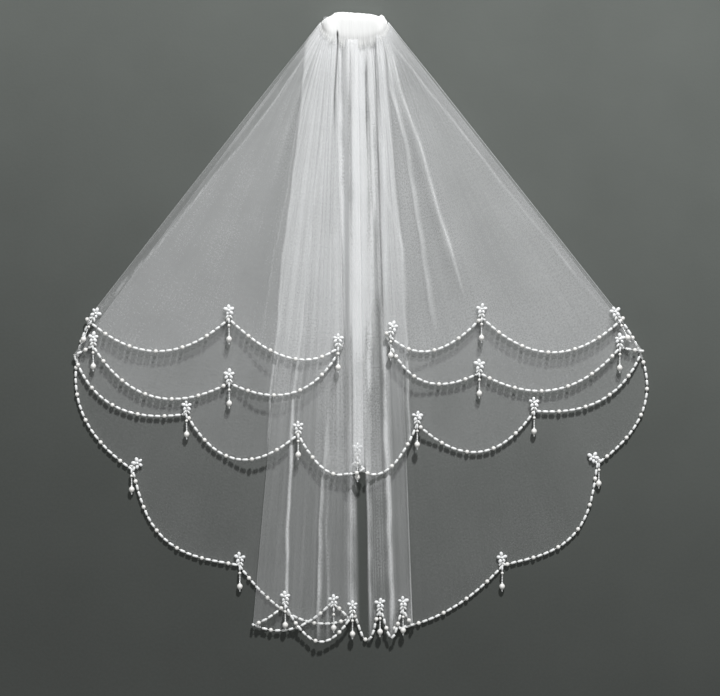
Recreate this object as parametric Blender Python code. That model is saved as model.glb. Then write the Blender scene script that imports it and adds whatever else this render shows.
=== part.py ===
# Bridal veil, laid flat on its back with the comb end towards +Y.
# One scalloped oval of tulle is folded over and gathered on a comb, so it lies in two tiers.
# Each side of the front tier is tucked back in and out again, as an under flap and an over flap.
# Metres, +Z up. The origin is the middle of the underside.

import math
from collections import namedtuple

import bmesh
import bpy
import numpy as np

# Driving dimensions
WALL = 0.0011
SEAM = 0.0003
FOLD_SEAM = 0.0005  # beside a fold, whose rim leans 0.2 towards the next stretch's
PITCH = 0.0036  # from one layer of cloth to the next
PITCH_AT_COMB = 0.66  # the share of that pitch left where the layers are sewn together

COMB_WIDTH = 0.078
COMB_SPINE = 0.008
COMB_TEETH = 20
COMB_TOOTH_LENGTH = 0.027
COMB_TOOTH_WIDTH = 0.0017
COMB_TOOTH_TAPER = 0.00034  # on each side, towards the tip
COMB_THICKNESS = 0.0024
COMB_TOP = 0.397

HEADING_X = -0.009  # the cloth is gathered along the lower half of an ellipse round this point
HEADING_Y = 0.388
HEADING_HALF_WIDTH = 0.042
HEADING_DEPTH = 0.022
HEADING_HEIGHT = 0.016
HEADING_CREST = 0.012
HEADING_END_HEIGHT = 0.004  # of the roll where it runs out at each side
HEADING_END_ANGLE = 80.0
FLUTE_RISE = 0.0012
FLUTE_REACH = 0.0022
HEADING_SECTIONS = 19
HEADING_FLUTES = 7

LIFT = 0.0034  # the cloth rises this far where it passes over the comb
LIFT_FROM = 0.300
LIFT_TO = 0.350

GATHERS = 6
GATHER_DEPTH = 0.0018
BACK_GATHERS_FROM = 0.240  # the back tier lies flat on the surface below this
BACK_GATHERS_TO = 0.320
BACK_HEM_FOLDS_FROM = -0.190  # its topmost pleats ripple again past the front tier's hem
BACK_HEM_FOLDS_TO = -0.260

EDGE_RADIUS = 0.00125
EDGE_END = 0.0032  # the beaded edge stops this far short of a seam with a fold of the next stretch
MITRE_FLOOR = 0.45  # keeps the beaded edge from reaching far out below a pointed end
PEARL_RADIUS = 0.003
DROP_REACH = 0.028  # from the hem to the middle of the pearl

ROW_STEPS = (0.0, 0.06, 0.14, 0.26, 0.42, 0.6, 0.8, 1.0)
SMALL_FOLD_STEPS = 4
OUTER_FOLD_STEPS = 6
SMALL_FOLD_RISE = 2.0  # a fold over more levels than this has the outer fold's steps

# The pleated bundle in the middle lies between two fold lines, each given by its x at the comb and at
# the hem
Edge = namedtuple("Edge", "x_at_comb x_at_hem y_at_comb y_at_hem bow")
BUNDLE_LEFT = Edge(-0.0434, -0.1375, 0.376, -0.342, 2.5)
BUNDLE_RIGHT = Edge(0.0241, 0.0620, 0.374, -0.350, 2.5)
MARGIN_AT_COMB = 0.006
MARGIN_AT_HEM = 0.060
MARGIN_OUTSIDE = 1.2  # this many margins outside its fold line the bundle has fallen away
TURN_DEPTH = 0.2  # how far the slanted start of a fold line reaches, for a bow of 2
TURN_LENGTH = 0.13  # the share of its length in which it turns

RIDGE_FADE = 4.0  # a ridge fades out over a quarter of its length at each end
# Soft ridges that every layer above the back tier follows: two ends, half width and height
Ridge = namedtuple("Ridge", "x0 y0 x1 y1 half_width height")
RIDGES = (
    Ridge(0.048, 0.300, 0.136, 0.030, 0.015, 0.0026),
    Ridge(-0.120, 0.200, -0.205, 0.030, 0.022, 0.0016),
    Ridge(0.150, 0.180, 0.235, 0.020, 0.024, 0.0014),
)

# A row stands for one bead motif or one fold, met in turn along a hem from left to right.
# x, y: on the line from motif to motif. top: where its fold line leaves the comb, in degrees along the
# heading's ellipse. bow: how soon the fold line has spread out (1 is straight). level: layers of cloth
# under it. at: how far along its scallop it is, 0 at a motif. sag, lean: the depth of the scallop it
# begins or lies in, and which way that hangs, in degrees from straight down. steps: columns to the next
# row. turn: 1 where the cloth folds back at its right, -1 at its left, 0 for no fold. power: 1 for a
# scallop with pointed ends, 2 for a narrow one that hangs as a rounded wave.
Row = namedtuple("Row", "x y top bow level at sag lean steps turn power", defaults=(1,))

BACK_TIER = (
    Row(-0.3448, 0.0121, -90, 1.0, 0.0, 0.00, 0.041, -74, 8, -1),
    Row(-0.2915, -0.1760, -80, 1.0, 0.0, 0.00, 0.038, -43, 7, 0, 1.25),
    Row(-0.1543, -0.2991, -66, 1.6, 0.0, 0.00, 0.043, 0, 6, 0),
    Row(-0.0146, -0.3435, -11, 1.4, 1.0, 0.85, 0.043, 0, 2, 1),
    Row(-0.0362, -0.3435, -16, 1.4, 1.0, 0.00, 0.038, 0, 4, 0),
    Row(-0.1365, -0.3423, -55, 2.5, 2.0, 0.72, 0.038, 0, 3, -1),
    Row(-0.0965, -0.3473, -42, 2.0, 2.0, 0.00, 0.041, 0, 6, 0),
    Row(-0.0114, -0.3588, -10, 1.4, 2.0, 0.00, 0.036, 4, 2, 0, 2),
    Row(-0.0038, -0.3588, -6, 1.0, 0.0, 0.25, 0.036, 4, 1, 0, 2),
    Row(0.0006, -0.3575, -2, 1.0, 0.0, 0.40, 0.036, 4, 2, 0, 2),
    Row(0.0133, -0.3560, 6, 1.0, 1.5, 0.70, 0.036, 4, 2, 0, 2),
    Row(0.0235, -0.3560, 14, 1.2, 2.0, 0.00, 0.034, 0, 6, 0, 2),
    Row(0.0527, -0.3540, 43, 2.2, 2.0, 0.00, 0.038, 8, 2, 0),
    Row(0.0610, -0.3520, 52, 2.5, 1.0, 0.17, 0.038, 8, 2, 1),
    Row(0.0375, -0.3430, 38, 2.0, 0.0, 0.36, 0.038, 8, 6, -1),
    Row(0.1784, -0.2991, 70, 1.5, 0.0, 0.00, 0.039, 48, 7, 0, 1.25),
    Row(0.3000, -0.1683, 82, 1.0, 0.0, 0.00, 0.047, 81, 8, 0),
    Row(0.3283, 0.0133, 90, 1.0, 3.0, 0.00, 0.000, 0, 0, 1),
)
FRONT_TIER = (
    Row(-0.3505, -0.0137, -87, 1.0, 1.0, 0.14, 0.046, -36, 7, 0),
    Row(-0.2216, -0.1060, -71, 1.3, 1.0, 0.00, 0.045, -10, 7, 0),
    Row(-0.0800, -0.1314, -42, 1.8, 1.0, 0.00, 0.044, 0, 6, 0),
    Row(-0.0197, -0.1403, -24, 1.0, 1.0, 0.62, 0.044, 0, 2, 0),
    Row(-0.0121, -0.1454, -10, 1.0, 3.4, 0.72, 0.044, 0, 2, 0),
    Row(0.0019, -0.1594, 5, 1.0, 2.0, 0.90, 0.044, 0, 1, 1),
    Row(-0.0051, -0.1594, 0, 1.0, 2.0, 0.00, 0.039, 0, 1, 0),
    Row(-0.0095, -0.1594, -4, 1.0, 1.0, 0.06, 0.039, 0, 8, -1),
    Row(0.0705, -0.1187, 48, 1.8, 1.0, 0.00, 0.044, 6, 7, 0),
    Row(0.2188, -0.1022, 71, 1.3, 1.0, 0.00, 0.040, 36, 7, 0),
    Row(0.3435, -0.0108, 87, 1.0, 1.0, 0.86, 0.040, 36, 0, 0),
)
LEFT_UNDER_FLAP = (
    Row(-0.3505, -0.0137, -87, 1.0, 2.0, 0.86, 0.046, -36, 2, -1),
    Row(-0.3397, -0.0197, -82, 1.0, 2.0, 0.00, 0.042, -15, 7, 0),
    Row(-0.1675, -0.0667, -64, 1.5, 2.0, 0.00, 0.038, 19, 7, 0),
    Row(-0.0235, -0.0171, -33, 1.0, 2.0, 0.00, 0.000, 0, 0, 0),
)
LEFT_OVER_FLAP = (
    Row(-0.3448, 0.0121, -90, 1.0, 3.0, 0.00, 0.040, 0, 7, 0),
    Row(-0.1675, 0.0146, -64, 1.5, 3.0, 0.00, 0.035, 12, 7, 0),
    Row(-0.0235, -0.0171, -33, 1.0, 2.0, 0.00, 0.000, 0, 0, 1),
)
RIGHT_OVER_FLAP = (
    Row(0.0298, -0.0018, 41, 1.0, 3.0, 0.00, 0.034, -8, 7, -1),
    Row(0.1518, 0.0163, 66, 1.5, 3.0, 0.00, 0.043, 0, 7, 0),
    Row(0.3283, 0.0133, 90, 1.0, 3.0, 0.00, 0.000, 0, 0, 0),
)
RIGHT_UNDER_FLAP = (
    Row(0.0298, -0.0018, 41, 1.0, 2.0, 0.00, 0.038, -21, 7, 0),
    Row(0.1492, -0.0540, 66, 1.5, 2.0, 0.00, 0.038, 10, 7, 0),
    Row(0.3270, -0.0217, 81, 1.0, 2.0, 0.00, 0.040, 36, 2, 0),
    Row(0.3435, -0.0108, 87, 1.0, 1.0, 0.14, 0.040, 36, 0, 1),
)

# One stretch of cloth between two seams. over_bundle: whether it lies on the back tier's pleats.
# level_before: the level that a fold in its first row comes from. first_gap, last_gap: seams at its ends.
Stretch = namedtuple("Stretch", "name rows over_bundle level_before first_gap last_gap")
STRETCHES = (
    Stretch("back_tier", BACK_TIER, 0, 3.0, 0, 0),
    Stretch("front_tier", FRONT_TIER, 1, None, FOLD_SEAM, -FOLD_SEAM),
    Stretch("left_under_flap", LEFT_UNDER_FLAP, 1, 1.0, 0, -FOLD_SEAM),
    Stretch("left_over_flap", LEFT_OVER_FLAP, 1, None, FOLD_SEAM, 0),
    Stretch("right_under_flap", RIGHT_UNDER_FLAP, 1, None, FOLD_SEAM, 0),
    Stretch("right_over_flap", RIGHT_OVER_FLAP, 1, 2.0, 0, -FOLD_SEAM),
)

# A motif sits on each row that starts a scallop. Some lie a little aside or down, with the flower turned
# from straight up (clockwise) or the drop from straight down (anticlockwise), in degrees. lower: how many
# more layers down the pearl lies. lift: how much higher the flower sits on uneven cloth
Pose = namedtuple("Pose", "aside down flower slant lower lift")
STRAIGHT = Pose(0.0, 0.0, 0, 0, 0, 0.0)
MOTIF_POSES = {
    "motif_back_tier_2": Pose(0.0, 0.0, 49, 0, 0, 0.0),
    "motif_back_tier_4": Pose(0.0010, 0.0080, 0, 0, 1, -0.0001),
    "motif_back_tier_10": Pose(0.0010, 0.0, -49, 0, 0, 0.0),
    "motif_left_over_flap_1": Pose(0.004, 0.0, 30, -24, 0, 0.0),
    "motif_left_over_flap_2": Pose(0.0, 0.0, 0, 0, 0, 0.0002),
    "motif_left_over_flap_3": Pose(-0.006, 0.004, 0, 0, 0, 0.0004),
    "motif_right_over_flap_1": Pose(0.007, 0.004, 15, 0, 0, -0.0007),
    "motif_right_over_flap_3": Pose(-0.004, 0.0, -20, 28, 0, 0.0),
}
# The rows that two stretches share carry one motif, on the upper stretch
NO_MOTIF = ("motif_back_tier_1", "motif_left_under_flap_3", "motif_right_under_flap_1", "motif_back_tier_11")

# Cross-section of the heading's roll, as shares of its depth and height
ProfilePoint = namedtuple("ProfilePoint", "across up")
HEADING_PROFILE = (
    ProfilePoint(0.0, 0.08),
    ProfilePoint(0.0, 0.72),
    ProfilePoint(0.12, 0.94),
    ProfilePoint(0.42, 1.0),
    ProfilePoint(0.72, 0.9),
    ProfilePoint(0.93, 0.62),
    ProfilePoint(1.0, 0.3),
    ProfilePoint(0.92, 0.0),
    ProfilePoint(0.05, 0.0),
)

# Points of a flower that are set above the cloth: how far in from the hem, how far aside, half thickness
Seat = namedtuple("Seat", "up aside half_thick")
FLOWER_SEATS = (
    Seat(0.0165, 0.0, 0.0006),
    Seat(0.0100, -0.0075, 0.0),
    Seat(0.0100, 0.0, 0.0007),
    Seat(0.0100, 0.0075, 0.0),
    Seat(0.0040, 0.0, 0.0007),
)
STRAND_HALF_WIDTH = 0.006  # of the hem that the strand is laid over
STRAND_HALF_THICK = 0.0006

# Sections of a motif and its drop: distance past the hem, width, thickness, and how far it has come
# down from the top of the beaded edge (0) to the middle of the pearl (1)
Section = namedtuple("Section", "past_hem width thickness fall")
DROP_SECTIONS = (
    Section(-0.0165, 0.0050, 0.0012, -1.0),
    Section(-0.0100, 0.0150, 0.0014, -1.0),
    Section(-0.0040, 0.0050, 0.0014, -0.5),
    Section(0.0045, 0.0024, 0.0012, 0.0),
    Section(0.0090, 0.0018, 0.0014, 0.8),
    Section(0.0250, 0.0018, 0.0016, 1.0),
    Section(0.0262, 0.0044, 0.0044, 1.0),
    Section(0.0280, 0.0060, 0.0060, 1.0),
    Section(0.0300, 0.0040, 0.0040, 1.0),
    Section(0.0330, 0.0014, 0.0014, 1.0),
)
DROP_SIDES = 6

TULLE = ("tulle", (0.86, 0.87, 0.87), 0.9)
PEARL = ("pearl", (0.92, 0.90, 0.86), 0.25)
BEADS = ("beads", (0.90, 0.90, 0.90), 0.3)
CLEAR_PLASTIC = ("clear_plastic", (0.80, 0.82, 0.83), 0.2)

Column = namedtuple("Column", "hem_x hem_y top bow level bulge gap")


def clear_scene():
    for obj in list(bpy.data.objects):
        bpy.data.objects.remove(obj)


def material(kind):
    name, colour, roughness = kind
    found = bpy.data.materials.get(name)
    if found is None:
        found = bpy.data.materials.new(name)
        found.use_nodes = True
        shader = found.node_tree.nodes["Principled BSDF"]
        shader.inputs["Base Color"].default_value = (*colour, 1.0)
        shader.inputs["Roughness"].default_value = roughness
        shader.inputs["Metallic"].default_value = 0.0
    return found


def place(obj, kind):
    obj.data.materials.append(material(kind))
    bpy.context.scene.collection.objects.link(obj)
    return obj


def smooth(value):
    share = np.clip(value, 0.0, 1.0)
    return share * share * (3.0 - 2.0 * share)


def between(value, start, end):
    # 0 at start, 1 at end, whichever way round they are
    return smooth((value - start) / (end - start))


def spread(share, bow):
    # how far sideways a fold line has gone at this share of its length: it leaves the comb at a slant,
    # soon turns, and then runs almost straight
    share = np.clip(share, 0.0, 1.0)
    return share + TURN_DEPTH * (bow - 1.0) * (1.0 - np.exp(-share / TURN_LENGTH)) * (1.0 - share)


def heading_point(top):
    angle = np.radians(top)
    x = HEADING_X + HEADING_HALF_WIDTH * np.sin(angle)
    y = HEADING_Y - HEADING_DEPTH * np.cos(angle)
    return x, y


def edge_x(edge, y):
    share = (edge.y_at_comb - y) / (edge.y_at_comb - edge.y_at_hem)
    return edge.x_at_comb + (edge.x_at_hem - edge.x_at_comb) * spread(share, edge.bow)


def bundle_cover(x, y):
    # 1 over the pleated bundle, falling to 0 beside it
    share = np.clip((BUNDLE_LEFT.y_at_comb - y) / (BUNDLE_LEFT.y_at_comb - BUNDLE_LEFT.y_at_hem), 0.0, 1.0)
    margin = MARGIN_AT_COMB + (MARGIN_AT_HEM - MARGIN_AT_COMB) * share
    left = smooth((x - edge_x(BUNDLE_LEFT, y)) / margin + MARGIN_OUTSIDE)
    right = smooth((edge_x(BUNDLE_RIGHT, y) - x) / margin + MARGIN_OUTSIDE)
    return left * right


def gathers(x, y):
    # cosine folds that widen with the bundle, never below zero
    left = edge_x(BUNDLE_LEFT, y)
    across = np.clip((x - left) / (edge_x(BUNDLE_RIGHT, y) - left), 0.0, 1.0)
    return GATHER_DEPTH * (0.5 - 0.5 * np.cos(2.0 * math.pi * GATHERS * across))


def ridges(x, y):
    # each is a soft ridge along a line, fading at both ends
    height = np.zeros_like(x)
    for ridge in RIDGES:
        along = np.array((ridge.x1 - ridge.x0, ridge.y1 - ridge.y0))
        length = float(np.linalg.norm(along))
        way = along / length
        far = (x - ridge.x0) * way[0] + (y - ridge.y0) * way[1]
        aside = (x - ridge.x0) * way[1] - (y - ridge.y0) * way[0]
        fade = smooth(far / length * RIDGE_FADE) * smooth((1.0 - far / length) * RIDGE_FADE)
        height = height + ridge.height * fade * np.exp(-((aside / ridge.half_width) ** 2))
    return height


def pitch_at(y):
    return PITCH * (1.0 - (1.0 - PITCH_AT_COMB) * between(y, LIFT_FROM, HEADING_Y - HEADING_DEPTH))


def mid_height(x, y, level, over_bundle):
    # height of the middle of the wall
    near_comb = between(y, BACK_GATHERS_FROM, BACK_GATHERS_TO)
    if over_bundle:
        stacked = level + 2.0 * bundle_cover(x, y)
        folds = gathers(x, y) + ridges(x, y)
    else:
        stacked = level
        near_hem = between(y, BACK_HEM_FOLDS_FROM, BACK_HEM_FOLDS_TO) * np.clip(level / 2.0, 0.0, 1.0)
        folds = gathers(x, y) * np.maximum(near_comb, near_hem)
    return WALL / 2.0 + pitch_at(y) * stacked + LIFT * between(y, LIFT_FROM, LIFT_TO) + folds


def hem_point(row, x, y, at):
    # the point (x, y) between two motifs, let down by the scallop's depth there
    sag = row.sag * (4.0 * at * (1.0 - at)) ** row.power
    lean = math.radians(row.lean)
    return x + sag * math.sin(lean), y - sag * math.cos(lean)


def fold_columns(row, level_before):
    # half a circle from one level to the next, bulging the way the cloth was going
    rise = row.level - level_before
    steps = OUTER_FOLD_STEPS if abs(rise) > SMALL_FOLD_RISE else SMALL_FOLD_STEPS
    hem = hem_point(row, row.x, row.y, row.at)
    found = []
    for angle in np.linspace(-math.pi / 2.0, math.pi / 2.0, steps + 1):
        level = level_before + rise * (1.0 + math.sin(angle)) / 2.0
        bulge = row.turn * abs(rise) / 2.0 * math.cos(angle)
        found.append(Column(*hem, row.top, row.bow, level, bulge, 0.0))
    return found


def run_columns(row, following, next_level, first):
    # columns from one row up to the next, without the next row's own
    end_at = following.at if following.at > 0.0 else 1.0
    found = []
    for step in range(first, row.steps):
        share = step / row.steps
        at = row.at + (end_at - row.at) * share
        x = row.x + (following.x - row.x) * share
        y = row.y + (following.y - row.y) * share
        found.append(
            Column(
                *hem_point(row, x, y, at),
                row.top + (following.top - row.top) * share,
                row.bow + (following.bow - row.bow) * share,
                row.level + (next_level - row.level) * float(smooth(share)),
                0.0,
                0.0,
            )
        )
    return found


def stretch_columns(stretch):
    rows = stretch.rows
    found = []
    before = stretch.level_before
    for index, row in enumerate(rows):
        if row.turn:
            found += fold_columns(row, before)
        if index == len(rows) - 1:
            break
        following = rows[index + 1]
        # a run stays on its own level up to a fold, and eases to the next row's level elsewhere
        next_level = row.level if following.turn else following.level
        found += run_columns(row, following, next_level, 1 if row.turn else 0)
        before = row.level
    last = rows[-1]
    if not last.turn:
        hem = hem_point(last, last.x, last.y, last.at)
        found.append(Column(*hem, last.top, last.bow, last.level, 0.0, 0.0))
    found[0] = found[0]._replace(gap=stretch.first_gap)
    found[-1] = found[-1]._replace(gap=stretch.last_gap)
    return found


def mid_surface(stretch):
    # grid of points, a column from comb to hem for each place along the hem
    columns = np.array(stretch_columns(stretch))
    hem_x, hem_y, top, bow, level, bulge, gap = (columns[:, i : i + 1] for i in range(columns.shape[1]))
    share = np.array(ROW_STEPS)[None, :]
    top_x, top_y = heading_point(top)
    length = np.hypot(hem_x - top_x, hem_y - top_y)
    right_x = (top_y - hem_y) / length
    right_y = (hem_x - top_x) / length
    x = top_x + (hem_x - top_x) * spread(share, bow)
    y = top_y + (hem_y - top_y) * share
    height = mid_height(x, y, level, stretch.over_bundle)
    aside = bulge * pitch_at(y) + gap
    return np.stack((x + right_x * aside, y + right_y * aside, height), axis=-1)


def grid_mesh(name, points):
    across, down = points.shape[:2]
    index = np.arange(across * down).reshape(across, down)
    faces = np.stack((index[:-1, :-1], index[:-1, 1:], index[1:, 1:], index[1:, :-1]), axis=-1)
    mesh = bpy.data.meshes.new(name)
    mesh.from_pydata(points.reshape(-1, 3).tolist(), [], faces.reshape(-1, 4).tolist())
    mesh.update()
    return mesh


def cloth(stretch, points):
    obj = bpy.data.objects.new(stretch.name, grid_mesh(stretch.name, points))
    wall = obj.modifiers.new("wall", "SOLIDIFY")
    wall.thickness = WALL
    wall.offset = 0.0
    wall.use_even_offset = False
    return place(obj, TULLE)


def unit(vectors):
    return vectors / np.linalg.norm(vectors, axis=-1, keepdims=True)


def hem_path(stretch, points):
    # just outside the hem: square to it on both sides of each point, so no bead lies on the cloth
    hem = points[:, -1]
    along = unit(np.diff(hem, axis=0))
    onward = unit(hem - points[:, -2])
    outward = []
    for side in (onward[:-1], onward[1:]):
        outward.append(unit(side - (side * along).sum(axis=1)[:, None] * along))
    before = np.vstack((outward[0][:1], outward[1]))
    after = np.vstack((outward[0], outward[1][-1:]))
    mitre = (before + after) / (1.0 + (before * after).sum(axis=1)).clip(min=MITRE_FLOOR)[:, None]
    path = hem + mitre * (EDGE_RADIUS + 1.5 * SEAM)
    # an end stops short where the next stretch's beads go on
    if stretch.first_gap:
        path[0] += unit(path[1] - path[0]) * EDGE_END
    if stretch.last_gap:
        path[-1] += unit(path[-2] - path[-1]) * EDGE_END
    path[:, 2] = np.maximum(path[:, 2], EDGE_RADIUS)
    return path


def beaded_edge(stretch, path):
    name = "edging_" + stretch.name
    curve = bpy.data.curves.new(name, "CURVE")
    curve.dimensions = "3D"
    curve.bevel_depth = EDGE_RADIUS
    curve.bevel_resolution = 1
    curve.use_fill_caps = True
    spline = curve.splines.new("POLY")
    spline.points.add(len(path) - 1)
    spline.points.foreach_set("co", np.column_stack((path, np.ones(len(path)))).ravel())
    return place(bpy.data.objects.new(name, curve), BEADS)


def ring_mesh(name, rings):
    # one closed body from a row of rings with the same number of points
    rings = np.asarray(rings)
    count, sides = rings.shape[:2]
    body = bmesh.new()
    verts = [[body.verts.new(point) for point in ring] for ring in rings]
    for first, second in zip(verts[:-1], verts[1:]):
        for side in range(sides):
            after = (side + 1) % sides
            body.faces.new((first[side], first[after], second[after], second[side]))
    body.faces.new(verts[0])
    body.faces.new(verts[-1])
    bmesh.ops.recalc_face_normals(body, faces=body.faces)
    mesh = bpy.data.meshes.new(name)
    body.to_mesh(mesh)
    body.free()
    return mesh


def motif(name, x, y, level, over_bundle):
    # a flower on the cloth, a strand over the beaded edge, and a pearl
    pose = MOTIF_POSES.get(name, STRAIGHT)
    slant = math.radians(pose.slant)
    x += pose.aside
    y -= pose.down
    beside_x = x + np.array((-STRAND_HALF_WIDTH, 0.0, STRAND_HALF_WIDTH))
    beside = float(mid_height(beside_x, np.full(3, y), level, over_bundle).max())
    edge_z = max(beside, EDGE_RADIUS)
    over_edge = edge_z + EDGE_RADIUS + 2.0 * SEAM + STRAND_HALF_THICK
    # the flower lies on the highest of the cloth under it, the pearl on the layer below or the floor
    towards = math.radians(pose.flower)
    up, aside, half_thick = np.array(FLOWER_SEATS).T
    flower_x = x + up * math.sin(towards) + aside * math.cos(towards)
    flower_y = y + up * math.cos(towards) - aside * math.sin(towards)
    under_flower = mid_height(flower_x, flower_y, level, over_bundle)
    on_cloth = float((under_flower + half_thick).max()) + WALL / 2.0 + 2.0 * SEAM + pose.lift
    pearl_x = x + DROP_REACH * math.sin(slant)
    pearl_y = y - DROP_REACH * math.cos(slant)
    pearl_z = PEARL_RADIUS
    level_below = level - 1.0 - pose.lower
    if level_below >= 0.0:
        below = float(mid_height(np.array(pearl_x), np.array(pearl_y), level_below, over_bundle))
        pearl_z = max(below, EDGE_RADIUS) + EDGE_RADIUS + SEAM + PEARL_RADIUS
    rings = []
    for section in DROP_SECTIONS:
        reach = section.past_hem
        turned = slant if reach > 0.0 else -towards
        middle_x = x + reach * math.sin(turned)
        middle_y = y - reach * math.cos(turned)
        if section.fall < 0.0:
            middle_z = over_edge + (on_cloth - over_edge) * -section.fall
        else:
            middle_z = over_edge + (pearl_z - over_edge) * section.fall
        ring = []
        for side in range(DROP_SIDES):
            angle = 2.0 * math.pi * side / DROP_SIDES
            aside = section.width / 2.0 * math.cos(angle)
            ring.append(
                (
                    middle_x + aside * math.cos(turned),
                    middle_y + aside * math.sin(turned),
                    middle_z + section.thickness / 2.0 * math.sin(angle),
                )
            )
        rings.append(ring)
    return place(bpy.data.objects.new(name, ring_mesh(name, rings)), PEARL)


def motifs(stretch):
    number = 0
    level_before = stretch.level_before or 0.0
    for row in stretch.rows:
        # on a fold the motif lies on the upper side
        level = max(row.level, level_before) if row.turn else row.level
        level_before = row.level
        if row.at > 0.0:
            continue
        number += 1
        name = f"motif_{stretch.name}_{number}"
        if name not in NO_MOTIF:
            motif(name, row.x, row.y, level, stretch.over_bundle)


def gathered_heading():
    # a fluted, rounded roll of the sewn gathers: a row of rounded sections from left to right
    rings = []
    for angle in np.radians(np.linspace(-HEADING_END_ANGLE, HEADING_END_ANGLE, HEADING_SECTIONS)):
        bulk = math.cos(angle)
        x = HEADING_X + (HEADING_HALF_WIDTH - 2.0 * SEAM) * math.sin(angle)
        low_y = HEADING_Y - (HEADING_DEPTH - 3.0 * SEAM) * bulk
        flute = 0.5 + 0.5 * math.cos(2.0 * HEADING_FLUTES * angle)
        high_y = HEADING_Y + HEADING_CREST * math.sqrt(bulk) + FLUTE_REACH * flute * bulk
        low_z = COMB_THICKNESS + SEAM
        swell = (HEADING_HEIGHT - HEADING_END_HEIGHT) * math.sqrt(bulk)
        high_z = low_z + HEADING_END_HEIGHT + swell + FLUTE_RISE * flute * bulk
        depth = high_y - low_y
        height = high_z - low_z
        rings.append([(x, low_y + depth * p.across, low_z + height * p.up) for p in HEADING_PROFILE])
    name = "gathered_heading"
    return place(bpy.data.objects.new(name, ring_mesh(name, rings)), TULLE)


def comb():
    # outline of the spine and its teeth, raised to the comb's thickness
    left = HEADING_X - COMB_WIDTH / 2.0
    spine_y = COMB_TOP - COMB_SPINE
    pitch = (COMB_WIDTH - COMB_TOOTH_WIDTH) / (COMB_TEETH - 1)
    outline = [(left, COMB_TOP), (left + COMB_WIDTH, COMB_TOP)]
    for tooth in reversed(range(COMB_TEETH)):
        low = left + tooth * pitch
        high = low + COMB_TOOTH_WIDTH
        outline += [
            (high, spine_y),
            (high - COMB_TOOTH_TAPER, spine_y - COMB_TOOTH_LENGTH),
            (low + COMB_TOOTH_TAPER, spine_y - COMB_TOOTH_LENGTH),
            (low, spine_y),
        ]
    body = bmesh.new()
    face = body.faces.new([body.verts.new((x, y, 0.0)) for x, y in outline])
    raised = bmesh.ops.extrude_face_region(body, geom=[face])
    top = [item for item in raised["geom"] if isinstance(item, bmesh.types.BMVert)]
    bmesh.ops.translate(body, verts=top, vec=(0.0, 0.0, COMB_THICKNESS))
    bmesh.ops.recalc_face_normals(body, faces=body.faces)
    mesh = bpy.data.meshes.new("comb")
    body.to_mesh(mesh)
    body.free()
    return place(bpy.data.objects.new("comb", mesh), CLEAR_PLASTIC)


def centre_on_floor():
    # the origin becomes the middle of the whole part's underside
    bpy.context.view_layer.update()
    graph = bpy.context.evaluated_depsgraph_get()
    points = []
    for obj in bpy.context.scene.objects:
        solid = obj.evaluated_get(graph)
        points += [vertex.co[:] for vertex in solid.to_mesh().vertices]
        solid.to_mesh_clear()
    low = np.array(points).min(axis=0)
    high = np.array(points).max(axis=0)
    for obj in bpy.context.scene.objects:
        obj.location.x = -(low[0] + high[0]) / 2.0
        obj.location.y = -(low[1] + high[1]) / 2.0


def main():
    clear_scene()
    comb()
    gathered_heading()
    for stretch in STRETCHES:
        points = mid_surface(stretch)
        cloth(stretch, points)
        beaded_edge(stretch, hem_path(stretch, points))
        motifs(stretch)
    centre_on_floor()


main()
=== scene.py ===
# Bridal veil, spread flat: two tiers of sheer tulle gathered on a comb, with beaded scallops and pearl drops.
# Metres. The camera looks straight down, with the comb at the top of the picture.
import math

import bpy
import numpy as np
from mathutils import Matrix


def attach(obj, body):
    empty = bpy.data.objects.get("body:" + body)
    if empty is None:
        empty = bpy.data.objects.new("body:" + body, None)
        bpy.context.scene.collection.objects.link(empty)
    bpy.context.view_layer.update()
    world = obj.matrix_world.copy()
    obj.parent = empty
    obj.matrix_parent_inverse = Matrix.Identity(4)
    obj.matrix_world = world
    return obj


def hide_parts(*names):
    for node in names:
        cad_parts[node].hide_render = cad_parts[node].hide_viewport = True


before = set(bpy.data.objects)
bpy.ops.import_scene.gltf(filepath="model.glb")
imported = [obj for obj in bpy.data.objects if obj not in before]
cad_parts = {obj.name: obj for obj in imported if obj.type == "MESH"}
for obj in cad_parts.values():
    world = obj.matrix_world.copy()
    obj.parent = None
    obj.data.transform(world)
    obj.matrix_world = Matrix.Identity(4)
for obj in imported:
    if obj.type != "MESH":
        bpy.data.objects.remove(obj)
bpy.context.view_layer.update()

# the same layout as the solids: cloth in layers, spread from a small ellipse at the comb
layout = {
    "centre": (0.0015962, -0.0025727),  # moves the tables' places onto the frame
    "wall": 0.0011,
    "pitch": 0.0036,  # from one layer of cloth to the next
    "pitchAtComb": 0.66,  # share of it left at the comb
    "headingX": -0.009,
    "headingY": 0.388,
    "headingHalfWidth": 0.042,
    "headingDepth": 0.022,
    "lift": 0.0034,  # where the cloth passes over the comb
    "liftFrom": 0.300,
    "liftTo": 0.350,
    "gathers": 6,
    "gatherDepthAtComb": 0.0018,
    "gatherDepth": 0.0018,
    "backGathers": (0.240, 0.320),
    "backHemFolds": (-0.190, -0.260),
    "bundleLeft": (-0.0434, -0.1375, 0.376, -0.342, 2.5),  # x at comb, x at hem, y at comb, y at hem, bow
    "bundleRight": (0.0241, 0.0620, 0.374, -0.350, 2.5),
    "marginAtComb": 0.006,
    "marginAtHem": 0.060,
    "turnDepth": 0.2,
    "turnLength": 0.13,
    "ridges": (  # x0, y0, x1, y1, half width, height
        (0.048, 0.300, 0.136, 0.030, 0.015, 0.0026),
        (-0.120, 0.200, -0.205, 0.030, 0.022, 0.0016),
        (0.150, 0.180, 0.235, 0.020, 0.024, 0.0014),
    ),
}


def smooth(value):
    # 3v^2 - 2v^3, held between 0 and 1
    v = np.clip(value, 0.0, 1.0)
    return v * v * (3.0 - 2.0 * v)


def between(value, start, end):
    # 0 at start, 1 at end
    return smooth((value - start) / (end - start))


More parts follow.
